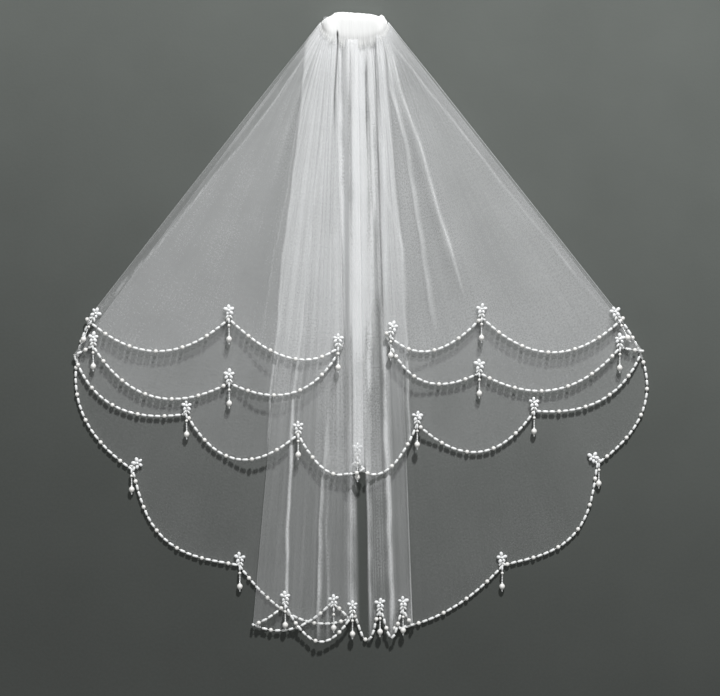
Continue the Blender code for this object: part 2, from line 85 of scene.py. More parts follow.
def spread(share, bow):
    # share + depth (bow - 1)(1 - e^(-share / length))(1 - share)
    s = np.clip(share, 0.0, 1.0)
    return s + layout["turnDepth"] * (bow - 1.0) * (1.0 - np.exp(-s / layout["turnLength"])) * (1.0 - s)


def headingPoint(top):
    # on the lower half of the heading's ellipse, top degrees from its lowest point
    angle = np.radians(top)
    x = layout["headingX"] + layout["headingHalfWidth"] * np.sin(angle)
    return x, layout["headingY"] - layout["headingDepth"] * np.cos(angle)


def edgeX(edge, y):
    # x of a fold line at height y
    xComb, xHem, yComb, yHem, bow = layout[edge]
    return xComb + (xHem - xComb) * spread((yComb - y) / (yComb - yHem), bow)


def bundleCover(x, y):
    # 1 over the pleated middle, falling smoothly to 0 beside it
    yComb, yHem = layout["bundleLeft"][2:4]
    share = np.clip((yComb - y) / (yComb - yHem), 0.0, 1.0)
    margin = layout["marginAtComb"] + (layout["marginAtHem"] - layout["marginAtComb"]) * share
    left = smooth((x - edgeX("bundleLeft", y)) / margin + 1.2)
    return left * smooth((edgeX("bundleRight", y) - x) / margin + 1.2)


def gatherWaves(x, y):
    # depth (1 - cos(2 pi n across)) / 2 across the bundle
    left = edgeX("bundleLeft", y)
    across = np.clip((x - left) / (edgeX("bundleRight", y) - left), 0.0, 1.0)
    extra = layout["gatherDepthAtComb"] - layout["gatherDepth"]
    depth = layout["gatherDepth"] + extra * between(y, layout["liftFrom"], layout["headingY"])
    return depth * (0.5 - 0.5 * np.cos(2.0 * math.pi * layout["gathers"] * across))


def ridgeField(x, y):
    # sum of height e^(-(aside / half width)^2) along straight lines, faded at both ends
    height = np.zeros_like(x)
    for x0, y0, x1, y1, halfWidth, rise in layout["ridges"]:
        length = math.hypot(x1 - x0, y1 - y0)
        ux, uy = (x1 - x0) / length, (y1 - y0) / length
        far = (x - x0) * ux + (y - y0) * uy
        aside = (x - x0) * uy - (y - y0) * ux
        fade = smooth(far / length * 4.0) * smooth((1.0 - far / length) * 4.0)
        height = height + rise * fade * np.exp(-((aside / halfWidth) ** 2))
    return height


def pitchAt(y):
    low = layout["headingY"] - layout["headingDepth"]
    return layout["pitch"] * (1.0 - (1.0 - layout["pitchAtComb"]) * between(y, layout["liftFrom"], low))


def midHeight(x, y, level, overBundle):
    # half a wall, a pitch for each layer below, the rise over the comb, and the folds
    nearComb = between(y, *layout["backGathers"])
    if overBundle:
        stacked = level + 2.0 * bundleCover(x, y)
        folds = gatherWaves(x, y) + ridgeField(x, y)
    else:
        stacked = level
        nearHem = between(y, *layout["backHemFolds"]) * np.clip(level / 2.0, 0.0, 1.0)
        folds = gatherWaves(x, y) * np.maximum(nearComb, nearHem)
    rise = layout["lift"] * between(y, layout["liftFrom"], layout["liftTo"])
    return layout["wall"] / 2.0 + pitchAt(y) * stacked + rise + folds


# folds and creases, listed one by one. Each is a line, given by its x in millimetres at these heights
creaseHeights = (0.360, 0.300, 0.240, 0.180, 0.100, 0.025, -0.080, -0.180, -0.270, -0.360)
lines = {
    "leftBright": (-36.2, -42.6, -50.9, -58.4, -67.9, -73.0, -85.9, -90.2, -93.7, -95.9),
    "leftSide": (-69.2, -74.0, -80.7, -87.2, -98.5, -104.2, -114.8, -120.7, -127.5, -132.7),
    "farLeft": (-67.9, -75.4, -84.3, -93.3, -109.4, -121.6, -138.3, -141.6, -141.6, -141.6),
    "leftSlit": (-30.3, -33.9, -34.9, -34.9, -34.9, -34.9, -34.9, -34.9, -34.9, -34.9),
    "leftOfMiddle": (-27.2, -28.0, -28.6, -27.0, -20.6, -17.6, -15.8, -14.6, -13.7, -13.3),
    "middle": (-6.0, -3.5, -2.8, -2.6, -3.0, -4.0, -1.9, 0.6, 0.6, 0.6),
    "middleSlit": (5.7, 5.7, 6.8, 7.0, 7.0, 7.0, 7.0, 7.0, 7.0, 7.0),
    "rightOfMiddle": (10.8, 12.1, 13.3, 14.6, 12.1, 10.8, 9.5, 7.4, 8.6, 9.8),
    "rightSlit": (19.7, 21.6, 26.3, 27.3, 27.3, 27.3, 27.3, 27.3, 27.3, 27.3),
    "rightBright": (22.2, 23.9, 25.7, 26.7, 27.9, 27.9, 29.2, 33.1, 36.7, 38.7),
    "rightSide": (26.0, 30.5, 36.3, 41.3, 50.2, 54.6, 59.7, 62.7, 63.9, 64.1),
    "rightFold": (31.1, 37.6, 54.1, 64.7, 76.2, 88.4, 101.0, 110.0, 118.0, 124.0),
    "rightCurve": (34.9, 50.5, 71.3, 88.9, 112.9, 134.4, 158.0, 170.0, 180.0, 190.0),
    "leftWing": (-61.6, -102.5, -147.3, -198.5, -263.3, -330.8, -332.1, -332.1, -332.1, -332.1),
    "rightWing": (40.0, 87.3, 134.5, 182.0, 246.8, 308.0, 308.0, 308.0, 308.0, 308.0),
    "leftPleat": (-40.0, -40.0, -40.0, -40.0, -40.0, -40.0, -40.1, -48.9, -53.7, -55.2),
    "smallPleat": (-40.0, -40.0, -40.0, -40.0, -40.0, -40.0, -40.0, -42.6, -44.3, -42.5),
    "gap": (-5.7, -5.7, -5.7, -5.7, -5.7, -5.7, -5.7, -0.6, 2.2, 3.4),
    "rightBand": (23.5, 23.5, 23.5, 23.5, 23.5, 23.5, 23.5, 23.5, 24.4, 24.8),
    "kink": (9.0, 14.6, 19.7, 28.6, 52.1, 56.5, 60.3, 62.0, 62.0, 62.0),
    "curl": (20.0, 74.0, 160.0, 160.0, 160.0, 160.0, 160.0, 160.0, 160.0, 160.0),
    "leftBand": (-55.0, -62.0, -66.0, -73.0, -83.0, -88.0, -98.0, -104.0, -108.0, -112.0),
}


def lineX(name, y):
    # x of a line at height y, in metres
    return np.interp(y, creaseHeights[::-1], lines[name][::-1]) / 1000.0


def creaseField(x, y, creases):
    # sum of rise and extra cloth, each times e^(-(aside / half width)^power) and faded at its ends
    lift = np.zeros_like(x)
    extra = np.zeros_like(x)
    for name, leftWidth, rightWidth, power, rise, cloth, start, end in creases:
        middle = lineX(name, y) + 0.0006 * np.sin(y * 47.0 + len(name)) + 0.0004 * np.sin(y * 113.0 + leftWidth)
        width = np.where(x < middle, leftWidth, rightWidth) / 1000.0
        uneven = 1.0 + 0.28 * np.sin(y * 31.0 + 2.0 * len(name)) * np.sin(y * 83.0 + rightWidth)
        fade = between(y, start, start - 0.03) * between(y, end, end + 0.05) * uneven
        bump = fade * np.exp(-(np.abs((x - middle) / width) ** power))
        lift += rise / 1000.0 * bump
        extra += cloth * bump
    return lift, extra


def hemPoint(row, x, y, at):
    # let down by sag (4 at (1 - at))^power, leaning
    sag = row[6] * (4.0 * at * (1.0 - at)) ** row[10]
    lean = math.radians(row[7])
    return x + sag * math.sin(lean), y - sag * math.cos(lean)


def foldColumns(row, levelBefore, order, count=18):
    # half a circle from one level to the next, and the cloth is pressed most at its middle
    angle = np.linspace(-math.pi / 2.0, math.pi / 2.0, count + 1)
    rise = row[4] - levelBefore
    x, y = hemPoint(row, row[0], row[1], row[5])
    level = levelBefore + rise * (1.0 + np.sin(angle)) / 2.0
    bulge = 0.5 * row[9] * abs(rise) / 2.0 * np.cos(angle)
    ones = np.ones(count + 1)
    return np.stack((x * ones, y * ones, row[2] * ones, row[3] * ones, level, bulge, np.cos(angle), order * ones), axis=1)


def runColumns(row, following, nextLevel, order, finer):
    # columns from one row up to the next, evenly along the scallop
    endAt = following[5] if following[5] > 0.0 else 1.0
    share = np.arange(row[8] * finer) / (row[8] * finer)
    at = row[5] + (endAt - row[5]) * share
    x, y = hemPoint(row, row[0] + (following[0] - row[0]) * share, row[1] + (following[1] - row[1]) * share, at)
    top = row[2] + (following[2] - row[2]) * share
    bow = row[3] + (following[3] - row[3]) * share
    level = row[4] + (nextLevel - row[4]) * smooth(share)
    zero = np.zeros_like(share)
    return np.stack((x, y, top, bow, level, zero, zero, order + share), axis=1)


def columnsOf(cloth):
    rows = [row if len(row) == 11 else row + (1.0,) for row in cloth["rows"]]
    found = []
    before = cloth["levelBefore"]
    for index, row in enumerate(rows):
        if row[9]:
            found.append(foldColumns(row, before, index))
        if index == len(rows) - 1:
            break
        following = rows[index + 1]
        nextLevel = row[4] if following[9] else following[4]
        run = runColumns(row, following, nextLevel, index, cloth["finer"])
        found.append(run[1:] if row[9] else run)
        before = row[4]
    last = rows[-1]
    if not last[9]:
        x, y = hemPoint(last, last[0], last[1], last[5])
        found.append(np.array([[x, y, last[2], last[3], last[4], 0.0, 0.0, len(rows) - 1.0]]))
    return np.vstack(found)


def clothSurface(cloth, rowCount):
    # columns from the comb to the hem, each a fold line spread sideways, at the height of its layer
    hemX, hemY, top, bow, level, bulge, pressed, order = (column[:, None] for column in columnsOf(cloth).T)
    share = (np.linspace(0.0, 1.0, rowCount) ** 1.25)[None, :]
    topX, topY = headingPoint(top)
    length = np.hypot(hemX - topX, hemY - topY)
    x = topX + (hemX - topX) * spread(share, bow)
    y = topY + (hemY - topY) * share
    z = midHeight(x, y, level, cloth["overBundle"])
    first, last = cloth["creasedRows"]
    onTop = ((order >= first) & (order <= last)).astype(float)
    lift, extra = creaseField(x, y, cloth["creases"])
    lift, extra = lift * onTop, extra * onTop
    aside = bulge * pitchAt(y)
    away = share * length
    x = x + (topY - hemY) / length * aside + layout["centre"][0]
    y = y + (hemX - topX) / length * aside + layout["centre"][1]
    return np.stack((x, y, z + lift), axis=-1), extra, pressed * np.ones_like(share), away


def gridNormals(points):
    # cross product of the steps along both parameters
    across = np.gradient(points, axis=0)
    down = np.gradient(points, axis=1)
    normal = np.cross(down, across)
    return normal / np.maximum(np.linalg.norm(normal, axis=-1, keepdims=True), 1e-12)


def meshFrom(name, points, faces, material, smoothShade=True):
    mesh = bpy.data.meshes.new(name)
    mesh.from_pydata(points.reshape(-1, 3).tolist(), [], faces.tolist())
    mesh.polygons.foreach_set("use_smooth", np.full(len(mesh.polygons), smoothShade))
    mesh.materials.append(material)
    mesh.update()
    piece = bpy.data.objects.new(name, mesh)
    bpy.context.scene.collection.objects.link(piece)
    return piece


def gridFaces(across, down, closed=False):
    index = np.arange(across * down).reshape(across, down)
    if closed:
        index = np.concatenate((index, index[:1]), axis=0)
    return np.stack((index[:-1, :-1], index[:-1, 1:], index[1:, 1:], index[1:, :-1]), axis=-1).reshape(-1, 4)


# node helpers and shared groups
def newGroup(name, inputs, outputs):
    group = bpy.data.node_groups.new(name, "ShaderNodeTree")
    for label, kind, value in inputs:
        socket = group.interface.new_socket(name=label, in_out="INPUT", socket_type=kind)
        if value is not None:
            socket.default_value = value
    for label, kind in outputs:
        group.interface.new_socket(name=label, in_out="OUTPUT", socket_type=kind)
    return group, group.nodes.new("NodeGroupInput"), group.nodes.new("NodeGroupOutput")


def mathNode(tree, operation, first, second=None):
    node = tree.nodes.new("ShaderNodeMath")
    node.operation = operation
    for slot, value in ((0, first), (1, second)):
        if value is None:
            continue
        if isinstance(value, (int, float)):
            node.inputs[slot].default_value = value
        else:
            tree.links.new(value, node.inputs[slot])
    return node.outputs[0]


def rangeNode(tree, value, low, high, toLow=0.0, toHigh=1.0):
    node = tree.nodes.new("ShaderNodeMapRange")
    node.interpolation_type = "SMOOTHSTEP"
    tree.links.new(value, node.inputs["Value"])
    for label, number in (("From Min", low), ("From Max", high), ("To Min", toLow), ("To Max", toHigh)):
        node.inputs[label].default_value = number
    return node.outputs["Result"]


def netGroup():
    # three cosine waves 120 degrees apart make round holes; what is low between them is the thread
    group, start, end = newGroup(
        "hexNet",
        [("Vector", "NodeSocketVector", None), ("Cells per metre", "NodeSocketFloat", 760.0)],
        [("Thread", "NodeSocketFloat")],
    )
    waves = None
    for degrees in (0.0, 120.0, 240.0):
        dot = group.nodes.new("ShaderNodeVectorMath")
        dot.operation = "DOT_PRODUCT"
        group.links.new(start.outputs["Vector"], dot.inputs[0])
        dot.inputs[1].default_value = (math.cos(math.radians(degrees)), math.sin(math.radians(degrees)), 0.0)
        turns = mathNode(group, "MULTIPLY", dot.outputs["Value"], start.outputs["Cells per metre"])
        wave = mathNode(group, "COSINE", mathNode(group, "MULTIPLY", turns, 2.0 * math.pi))
        waves = wave if waves is None else mathNode(group, "ADD", waves, wave)
    group.links.new(rangeNode(group, waves, 0.1, -0.9), end.inputs["Thread"])
    return group


def coverGroup():
    # what layers of cloth hide: 1 - (1 - hides)^layers, heavier on the thread than in the holes
    group, start, end = newGroup(
        "clothCover",
        [
            ("Hides", "NodeSocketFloat", 0.075),
            ("Layers", "NodeSocketFloat", 1.0),
            ("Thread", "NodeSocketFloat", 0.0),
            ("Streak", "NodeSocketFloat", 1.0),
        ],
        [("Alpha", "NodeSocketFloat")],
    )
    layers = mathNode(group, "MULTIPLY", start.outputs["Layers"], start.outputs["Streak"])
    through = mathNode(group, "SUBTRACT", 1.0, start.outputs["Hides"])
    hidden = mathNode(group, "SUBTRACT", 1.0, mathNode(group, "POWER", through, layers))
    uneven = mathNode(group, "ADD", mathNode(group, "MULTIPLY", start.outputs["Thread"], 1.35), 0.55)
    mixed = mathNode(group, "MULTIPLY", hidden, uneven)
    group.links.new(mathNode(group, "MINIMUM", mixed, 0.97), end.inputs["Alpha"])
    return group


def fineGrainGroup():
    # two sizes of noise, put out as a value about 1 and a height
    group, start, end = newGroup(
        "fineGrain",
        [("Vector", "NodeSocketVector", None), ("Scale", "NodeSocketFloat", 900.0), ("Strength", "NodeSocketFloat", 0.1)],
        [("Value", "NodeSocketFloat"), ("Height", "NodeSocketFloat")],
    )
    fine = group.nodes.new("ShaderNodeTexNoise")
    group.links.new(start.outputs["Vector"], fine.inputs["Vector"])
    group.links.new(start.outputs["Scale"], fine.inputs["Scale"])
    fine.inputs["Detail"].default_value = 3.0
    swing = mathNode(group, "MULTIPLY", mathNode(group, "SUBTRACT", fine.outputs["Fac"], 0.5), start.outputs["Strength"])
    group.links.new(mathNode(group, "ADD", swing, 1.0), end.inputs["Value"])
    group.links.new(fine.outputs["Fac"], end.inputs["Height"])
    return group


netting = netGroup()
clothCover = coverGroup()
fineGrain = fineGrainGroup()


def newMaterial(name, colour, roughness):
    material = bpy.data.materials.new(name)
    material.use_nodes = True
    shader = material.node_tree.nodes["Principled BSDF"]
    shader.inputs["Base Color"].default_value = (*colour, 1.0)
    shader.inputs["Roughness"].default_value = roughness
    return material, material.node_tree, shader


def groupNode(tree, group):
    node = tree.nodes.new("ShaderNodeGroup")
    node.node_tree = group
    return node


def surfaceDetail(tree, shader, vector, scale, roughness, depth):
    # roughness between two values and a small bump, both from one grain
    node = groupNode(tree, fineGrain)
    node.inputs["Scale"].default_value = scale
    tree.links.new(vector, node.inputs["Vector"])
    tree.links.new(rangeNode(tree, node.outputs["Height"], 0.3, 0.7, *roughness), shader.inputs["Roughness"])
    bump = tree.nodes.new("ShaderNodeBump")
    bump.inputs["Distance"].default_value = depth
    tree.links.new(node.outputs["Height"], bump.inputs["Height"])
    tree.links.new(bump.outputs["Normal"], shader.inputs["Normal"])
    return node


def tulleMaterial():
    # sheer white net: the piece's own UV is the cloth in metres, its layers attribute says how much lies there
    look = {"colour": (0.90, 0.91, 0.92), "roughness": 0.85, "hides": 0.088, "streaks": 230.0, "folds": 90.0, "grain": 420.0, "clouds": 11.0}
    material, tree, shader = newMaterial("sheerTulle", look["colour"], look["roughness"])
    uv = tree.nodes.new("ShaderNodeUVMap")
    uv.uv_map = "cloth"
    layers = tree.nodes.new("ShaderNodeAttribute")
    layers.attribute_name = "layers"
    gathered = tree.nodes.new("ShaderNodeAttribute")
    gathered.attribute_name = "gathered"
    net = groupNode(tree, netting)
    tree.links.new(uv.outputs["UV"], net.inputs["Vector"])
    stretched = tree.nodes.new("ShaderNodeMapping")
    stretched.inputs["Scale"].default_value = (look["streaks"], 5.0, 1.0)
    tree.links.new(uv.outputs["UV"], stretched.inputs["Vector"])
    noise = tree.nodes.new("ShaderNodeTexNoise")
    noise.inputs["Scale"].default_value = 1.0
    noise.inputs["Detail"].default_value = 4.0
    tree.links.new(stretched.outputs["Vector"], noise.inputs["Vector"])
    swing = mathNode(tree, "MULTIPLY", mathNode(tree, "SUBTRACT", noise.outputs["Fac"], 0.5), gathered.outputs["Fac"])
    # broader folds, only where the cloth is pleated
    wide = tree.nodes.new("ShaderNodeMapping")
    wide.inputs["Scale"].default_value = (look["folds"], 1.6, 1.0)
    tree.links.new(uv.outputs["UV"], wide.inputs["Vector"])
    folds = tree.nodes.new("ShaderNodeTexNoise")
    folds.inputs["Scale"].default_value = 1.0
    folds.inputs["Detail"].default_value = 1.0
    tree.links.new(wide.outputs["Vector"], folds.inputs["Vector"])
    pleated = mathNode(tree, "MAXIMUM", mathNode(tree, "SUBTRACT", gathered.outputs["Fac"], 0.4), 0.0)
    centredFolds = mathNode(tree, "SUBTRACT", folds.outputs["Fac"], 0.5)
    foldSwing = mathNode(tree, "MULTIPLY", mathNode(tree, "MULTIPLY", centredFolds, 1.7), pleated)
    swing = mathNode(tree, "ADD", swing, foldSwing)
    grain = groupNode(tree, fineGrain)
    grain.inputs["Scale"].default_value = look["grain"]
    grain.inputs["Strength"].default_value = 1.8
    tree.links.new(uv.outputs["UV"], grain.inputs["Vector"])
    cloud = groupNode(tree, fineGrain)
    cloud.inputs["Scale"].default_value = look["clouds"]
    cloud.inputs["Strength"].default_value = 0.7
    tree.links.new(uv.outputs["UV"], cloud.inputs["Vector"])
    uneven = mathNode(tree, "MULTIPLY", mathNode(tree, "ADD", swing, 1.0), grain.outputs["Value"])
    uneven = mathNode(tree, "MULTIPLY", uneven, cloud.outputs["Value"])
    streak = mathNode(tree, "MAXIMUM", uneven, 0.2)
    cover = groupNode(tree, clothCover)
    cover.inputs["Hides"].default_value = look["hides"]
    tree.links.new(layers.outputs["Fac"], cover.inputs["Layers"])
    tree.links.new(net.outputs["Thread"], cover.inputs["Thread"])
    tree.links.new(streak, cover.inputs["Streak"])
    tree.links.new(cover.outputs["Alpha"], shader.inputs["Alpha"])
    surfaceDetail(tree, shader, uv.outputs["UV"], look["grain"], (0.75, 0.95), 0.0002)
    shader.inputs["Specular IOR Level"].default_value = 0.2
    shader.inputs["Sheen Weight"].default_value = 0.3
    shader.inputs["Sheen Roughness"].default_value = 0.5
    return material


def beadMaterial(name, colour, roughness, coat, grain):
    # glossy beads, slightly uneven in tone from one to the next
    material, tree, shader = newMaterial(name, colour, roughness)
    place = tree.nodes.new("ShaderNodeTexCoord")
    node = groupNode(tree, fineGrain)
    node.inputs["Scale"].default_value = grain
    node.inputs["Strength"].default_value = 0.16
    tree.links.new(place.outputs["Object"], node.inputs["Vector"])
    tint = tree.nodes.new("ShaderNodeMix")
    tint.data_type = "RGBA"
    tint.blend_type = "MULTIPLY"
    tint.inputs["Factor"].default_value = 1.0
    tint.inputs["A"].default_value = (*colour, 1.0)
    tree.links.new(node.outputs["Value"], tint.inputs["B"])
    tree.links.new(tint.outputs["Result"], shader.inputs["Base Color"])
    surfaceDetail(tree, shader, place.outputs["Object"], 2.0 * grain, (0.8 * roughness, 1.3 * roughness), 0.00003)
    shader.inputs["Coat Weight"].default_value = coat
    shader.inputs["Coat Roughness"].default_value = 0.08
    return material


tulle = tulleMaterial()
bugleWhite = beadMaterial("bugleWhite", (0.94, 0.95, 0.95), 0.22, 0.6, 300.0)
pearlWhite = beadMaterial("pearlWhite", (0.95, 0.94, 0.915), 0.28, 1.0, 260.0)
sequinWhite = beadMaterial("sequinWhite", (0.95, 0.96, 0.97), 0.12, 0.8, 600.0)
threadWhite = beadMaterial("threadWhite", (0.88, 0.88, 0.87), 0.7, 0.0, 1500.0)
print("materials ready")


# where the pleats part and little cloth lies: line, half width (mm), power, share taken away, from, to
slits = (
    ("leftSlit", 1.6, 2, 0.86, 0.392, 0.235),
    ("middleSlit", 1.4, 2, 0.66, 0.345, 0.215),
    ("rightSlit", 1.5, 2, 0.50, 0.350, 0.200),
    ("gap", 6.5, 8, 0.95, -0.162, -0.450),
)


def slitCover(x, y):
    # product of 1 - share e^(-(aside / half width)^power), each faded at its ends
    left = np.ones_like(x)
    for name, halfWidth, power, share, start, end in slits:
        aside = np.abs(x - lineX(name, y)) * 1000.0 / halfWidth
        left = left * (1.0 - share * between(y, start, start - 0.02) * between(y, end, end + 0.06) * np.exp(-(aside**power)))
    return left


def layeredCover(points, extra, pressed, away, density):
    # how many layers' worth of cloth lies at each point, from the gathering, the creases and the slope
    x = points[..., 0] - layout["centre"][0]
    y = points[..., 1] - layout["centre"][1]
    slope = np.clip(np.abs(gridNormals(points)[..., 2]), 0.3, 1.0)
    left, right = lineX("leftSide", y), lineX("rightSide", y)
    bundle = between(x, left - 0.003, left + 0.002) * between(x, right + 0.004, right - 0.001)
    reach = between(y, -0.17, 0.20)
    atComb = 5.0 * np.exp(-away / 0.010) + 2.6 * np.exp(-away / 0.035) * (0.1 + bundle)
    layers = ((density + 1.1 * reach * bundle + atComb + extra) / slope + 1.7 * pressed**2) * slitCover(x, y)
    gathered = 0.40 + 1.3 * np.exp(-away / 0.10) + 0.9 * bundle
    return np.maximum(layers, 0.03), gathered


def tulleSheet(cloth, rowCount=56):
    points, extra, pressed, away = clothSurface(cloth, rowCount)
    layers, gathered = layeredCover(points, extra, pressed, away, cloth["density"])
    across, down = points.shape[:2]
    piece = meshFrom(cloth["piece"], points, gridFaces(across, down), tulle)
    steps = np.linalg.norm(np.diff(points[:, -1], axis=0), axis=1)
    along = np.concatenate(([0.0], np.cumsum(steps)))[:, None] * np.ones((1, down))
    mesh = piece.data
    corner = np.empty(len(mesh.loops), dtype=np.int32)
    mesh.loops.foreach_get("vertex_index", corner)
    uv = mesh.uv_layers.new(name="cloth")
    uv.uv.foreach_set("vector", np.stack((along.ravel(), away.ravel()), axis=1)[corner].ravel())
    for label, values in (("layers", layers), ("gathered", gathered)):
        attribute = mesh.attributes.new(label, "FLOAT", "POINT")
        attribute.data.foreach_set("value", values.ravel())
    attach(piece, "root")
    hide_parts(cloth["node"])
    print("cloth", cloth["piece"], len(mesh.polygons), "faces", "hem", round(float(along[-1, 0]), 3))
    return piece, points


# rows: x, y, top angle, bow, level, place on its scallop, sag, lean, steps, turn, power
backTier = {
    "piece": "backTierTulle",
    "node": "back_tier",
    "density": 0.66,  # of the net, seen against what lies below
    "cut": (1.3, 0.75),  # metres, as it was cut
    "cutArea": 0.6,
    "restsOn": "card",
    "overBundle": 0,
    "levelBefore": 3.0,
    "rows": (
        (-0.3448, 0.0121, -90, 1.0, 0.0, 0.00, 0.041, -74, 8, -1),
        (-0.2915, -0.1760, -80, 1.0, 0.0, 0.00, 0.038, -43, 7, 0, 1.25),
        (-0.1543, -0.2991, -66, 1.6, 0.0, 0.00, 0.043, 0, 6, 0),
        (-0.0146, -0.3435, -11, 1.4, 1.0, 0.85, 0.043, 0, 2, 1),
        (-0.0362, -0.3435, -16, 1.4, 1.0, 0.00, 0.038, 0, 4, 0),
        (-0.1365, -0.3423, -55, 2.5, 2.0, 0.72, 0.038, 0, 3, -1),
        (-0.0965, -0.3473, -42, 2.0, 2.0, 0.00, 0.041, 0, 6, 0),
        (-0.0114, -0.3588, -10, 1.4, 2.0, 0.00, 0.036, 4, 2, 0, 2),
        (-0.0038, -0.3588, -6, 1.0, 0.0, 0.25, 0.036, 4, 1, 0, 2),
        (0.0006, -0.3575, -2, 1.0, 0.0, 0.40, 0.036, 4, 2, 0, 2),
        (0.0133, -0.3560, 6, 1.0, 1.5, 0.70, 0.036, 4, 2, 0, 2),
        (0.0235, -0.3560, 14, 1.2, 2.0, 0.00, 0.034, 0, 6, 0, 2),
        (0.0527, -0.3540, 43, 2.2, 2.0, 0.00, 0.038, 8, 2, 0),
        (0.0610, -0.3520, 52, 2.5, 1.0, 0.17, 0.038, 8, 2, 1),
        (0.0375, -0.3430, 38, 2.0, 0.0, 0.36, 0.038, 8, 6, -1),
        (0.1784, -0.2991, 70, 1.5, 0.0, 0.00, 0.039, 48, 7, 0, 1.25),
        (0.3000, -0.1683, 82, 1.0, 0.0, 0.00, 0.047, 81, 8, 0),
        (0.3283, 0.0133, 90, 1.0, 3.0, 0.00, 0.000, 0, 0, 1),
    ),
    "finer": 20,
    "creasedRows": (5.7, 13.0),  # the pleats that lie on top
    "creases": (
        ("leftBright", 2.0, 1.7, 2, 1.0, 6.5, -0.10, -0.40),
        ("leftPleat", 1.2, 3.0, 2, 0.5, 4.0, -0.10, -0.40),
        ("smallPleat", 1.6, 2.4, 2, 0.4, 1.4, -0.12, -0.40),
        ("leftOfMiddle", 3.6, 5.0, 2, 0.9, 3.6, -0.10, -0.40),
        ("rightOfMiddle", 2.2, 3.4, 2, 0.9, 5.6, -0.10, -0.40),
        ("rightBand", 13.0, 14.0, 8, 0.0, 1.1, -0.10, -0.40),
        ("rightBright", 2.4, 2.2, 2, 1.0, 7.5, -0.10, -0.40),
        ("rightSide", 3.4, 1.4, 2, 0.5, 3.0, -0.10, -0.40),
        ("leftSide", 1.0, 2.4, 2, 0.4, 1.5, -0.10, -0.40),
    ),
}
frontTier = {
    "piece": "frontTierTulle",
    "node": "front_tier",
    "density": 1.0,  # of the net, seen against what lies below
    "cut": (0.95, 0.52),  # metres, as it was cut
    "cutArea": 0.284,
    "restsOn": "backTierTulle",
    "overBundle": 1,
    "levelBefore": None,
    "rows": (
        (-0.3505, -0.0137, -87, 1.0, 1.0, 0.14, 0.046, -36, 7, 0),
        (-0.2216, -0.1060, -71, 1.3, 1.0, 0.00, 0.045, -10, 7, 0),
        (-0.0800, -0.1314, -42, 1.8, 1.0, 0.00, 0.044, 0, 6, 0),
        (-0.0197, -0.1403, -24, 1.0, 1.0, 0.62, 0.044, 0, 2, 0),
        (-0.0121, -0.1454, -10, 1.0, 3.4, 0.72, 0.044, 0, 2, 0),
        (0.0019, -0.1594, 5, 1.0, 2.0, 0.90, 0.044, 0, 1, 1),
        (-0.0051, -0.1594, 0, 1.0, 2.0, 0.00, 0.039, 0, 1, 0),
        (-0.0095, -0.1594, -4, 1.0, 1.0, 0.06, 0.039, 0, 8, -1),
        (0.0705, -0.1187, 48, 1.8, 1.0, 0.00, 0.044, 6, 7, 0),
        (0.2188, -0.1022, 71, 1.3, 1.0, 0.00, 0.040, 36, 7, 0),
        (0.3435, -0.0108, 87, 1.0, 1.0, 0.86, 0.040, 36, 0, 0),
    ),
    "finer": 20,
    "creasedRows": (0.0, 10.0),
    "creases": (
        ("leftBright", 1.5, 1.8, 2, 0.5, 4.0, 0.37, -0.15),
        ("leftBright", 30.0, 8.0, 6, 0.0, 0.9, 0.22, -0.12),
        ("leftSide", 1.0, 1.5, 2, 0.5, 2.4, 0.37, -0.17),
        ("leftSlit", 1.7, 1.7, 2, -0.9, 0.0, 0.385, 0.165),
        ("leftOfMiddle", 2.2, 4.6, 2, 0.35, 7.0, 0.38, 0.00),
        ("leftOfMiddle", 1.6, 2.2, 2, 0.3, 3.0, 0.05, -0.22),
        ("middle", 19.0, 19.0, 8, 0.0, 4.2, 0.385, -0.02),
        ("middle", 52.0, 22.0, 8, 0.0, 1.5, 0.13, -0.24),
        ("middle", 7.0, 8.2, 4, 0.4, 7.0, 0.385, -0.05),
        ("middle", 9.0, 6.5, 4, 0.3, 2.8, 0.02, -0.24),
        ("middleSlit", 1.8, 1.8, 2, -0.7, -2.0, 0.385, 0.190),
        ("rightOfMiddle", 2.6, 3.2, 2, 0.3, 5.0, 0.37, -0.10),
        ("rightSlit", 8.0, 5.0, 4, 0.0, 3.6, 0.37, 0.02),
        ("kink", 0.9, 2.4, 2, 0.7, 2.6, 0.26, 0.02),
        ("leftWing", 11.0, 0.4, 6, 0.0, -0.35, 0.37, 0.10),
        ("rightSlit", 1.8, 1.5, 2, -0.6, -1.5, 0.385, 0.210),
        ("rightBright", 2.2, 4.4, 2, 0.4, 6.0, 0.30, -0.20),
        ("rightSide", 2.2, 1.1, 2, 0.5, 4.0, 0.30, -0.20),
    ),
}
leftUnderFlap = {
    "piece": "leftUnderFlapTulle",
    "node": "left_under_flap",
    "density": 1.0,  # of the net, seen against what lies below
    "cut": (0.41, 0.46),  # metres, as it was cut
    "cutArea": 0.094,
    "restsOn": "frontTierTulle",
    "overBundle": 1,
    "levelBefore": 1.0,
    "rows": (
        (-0.3505, -0.0137, -87, 1.0, 2.0, 0.86, 0.046, -36, 2, -1),
        (-0.3397, -0.0197, -82, 1.0, 2.0, 0.00, 0.042, -15, 7, 0),
        (-0.1675, -0.0667, -64, 1.5, 2.0, 0.00, 0.038, 19, 7, 0),
        (-0.0235, -0.0171, -33, 1.0, 2.0, 0.00, 0.000, 0, 0, 0),
    ),
    "finer": 10,
    "creasedRows": (0.0, 9.0),
    "creases": (
        ("farLeft", 0.9, 1.4, 2, 0.5, 1.4, 0.36, -0.05),
        ("leftBand", 5.0, 9.0, 2, 0.5, 0.9, 0.30, -0.05),
        ("leftWing", 11.0, 0.4, 6, 0.0, -0.40, 0.37, 0.06),
    ),
}
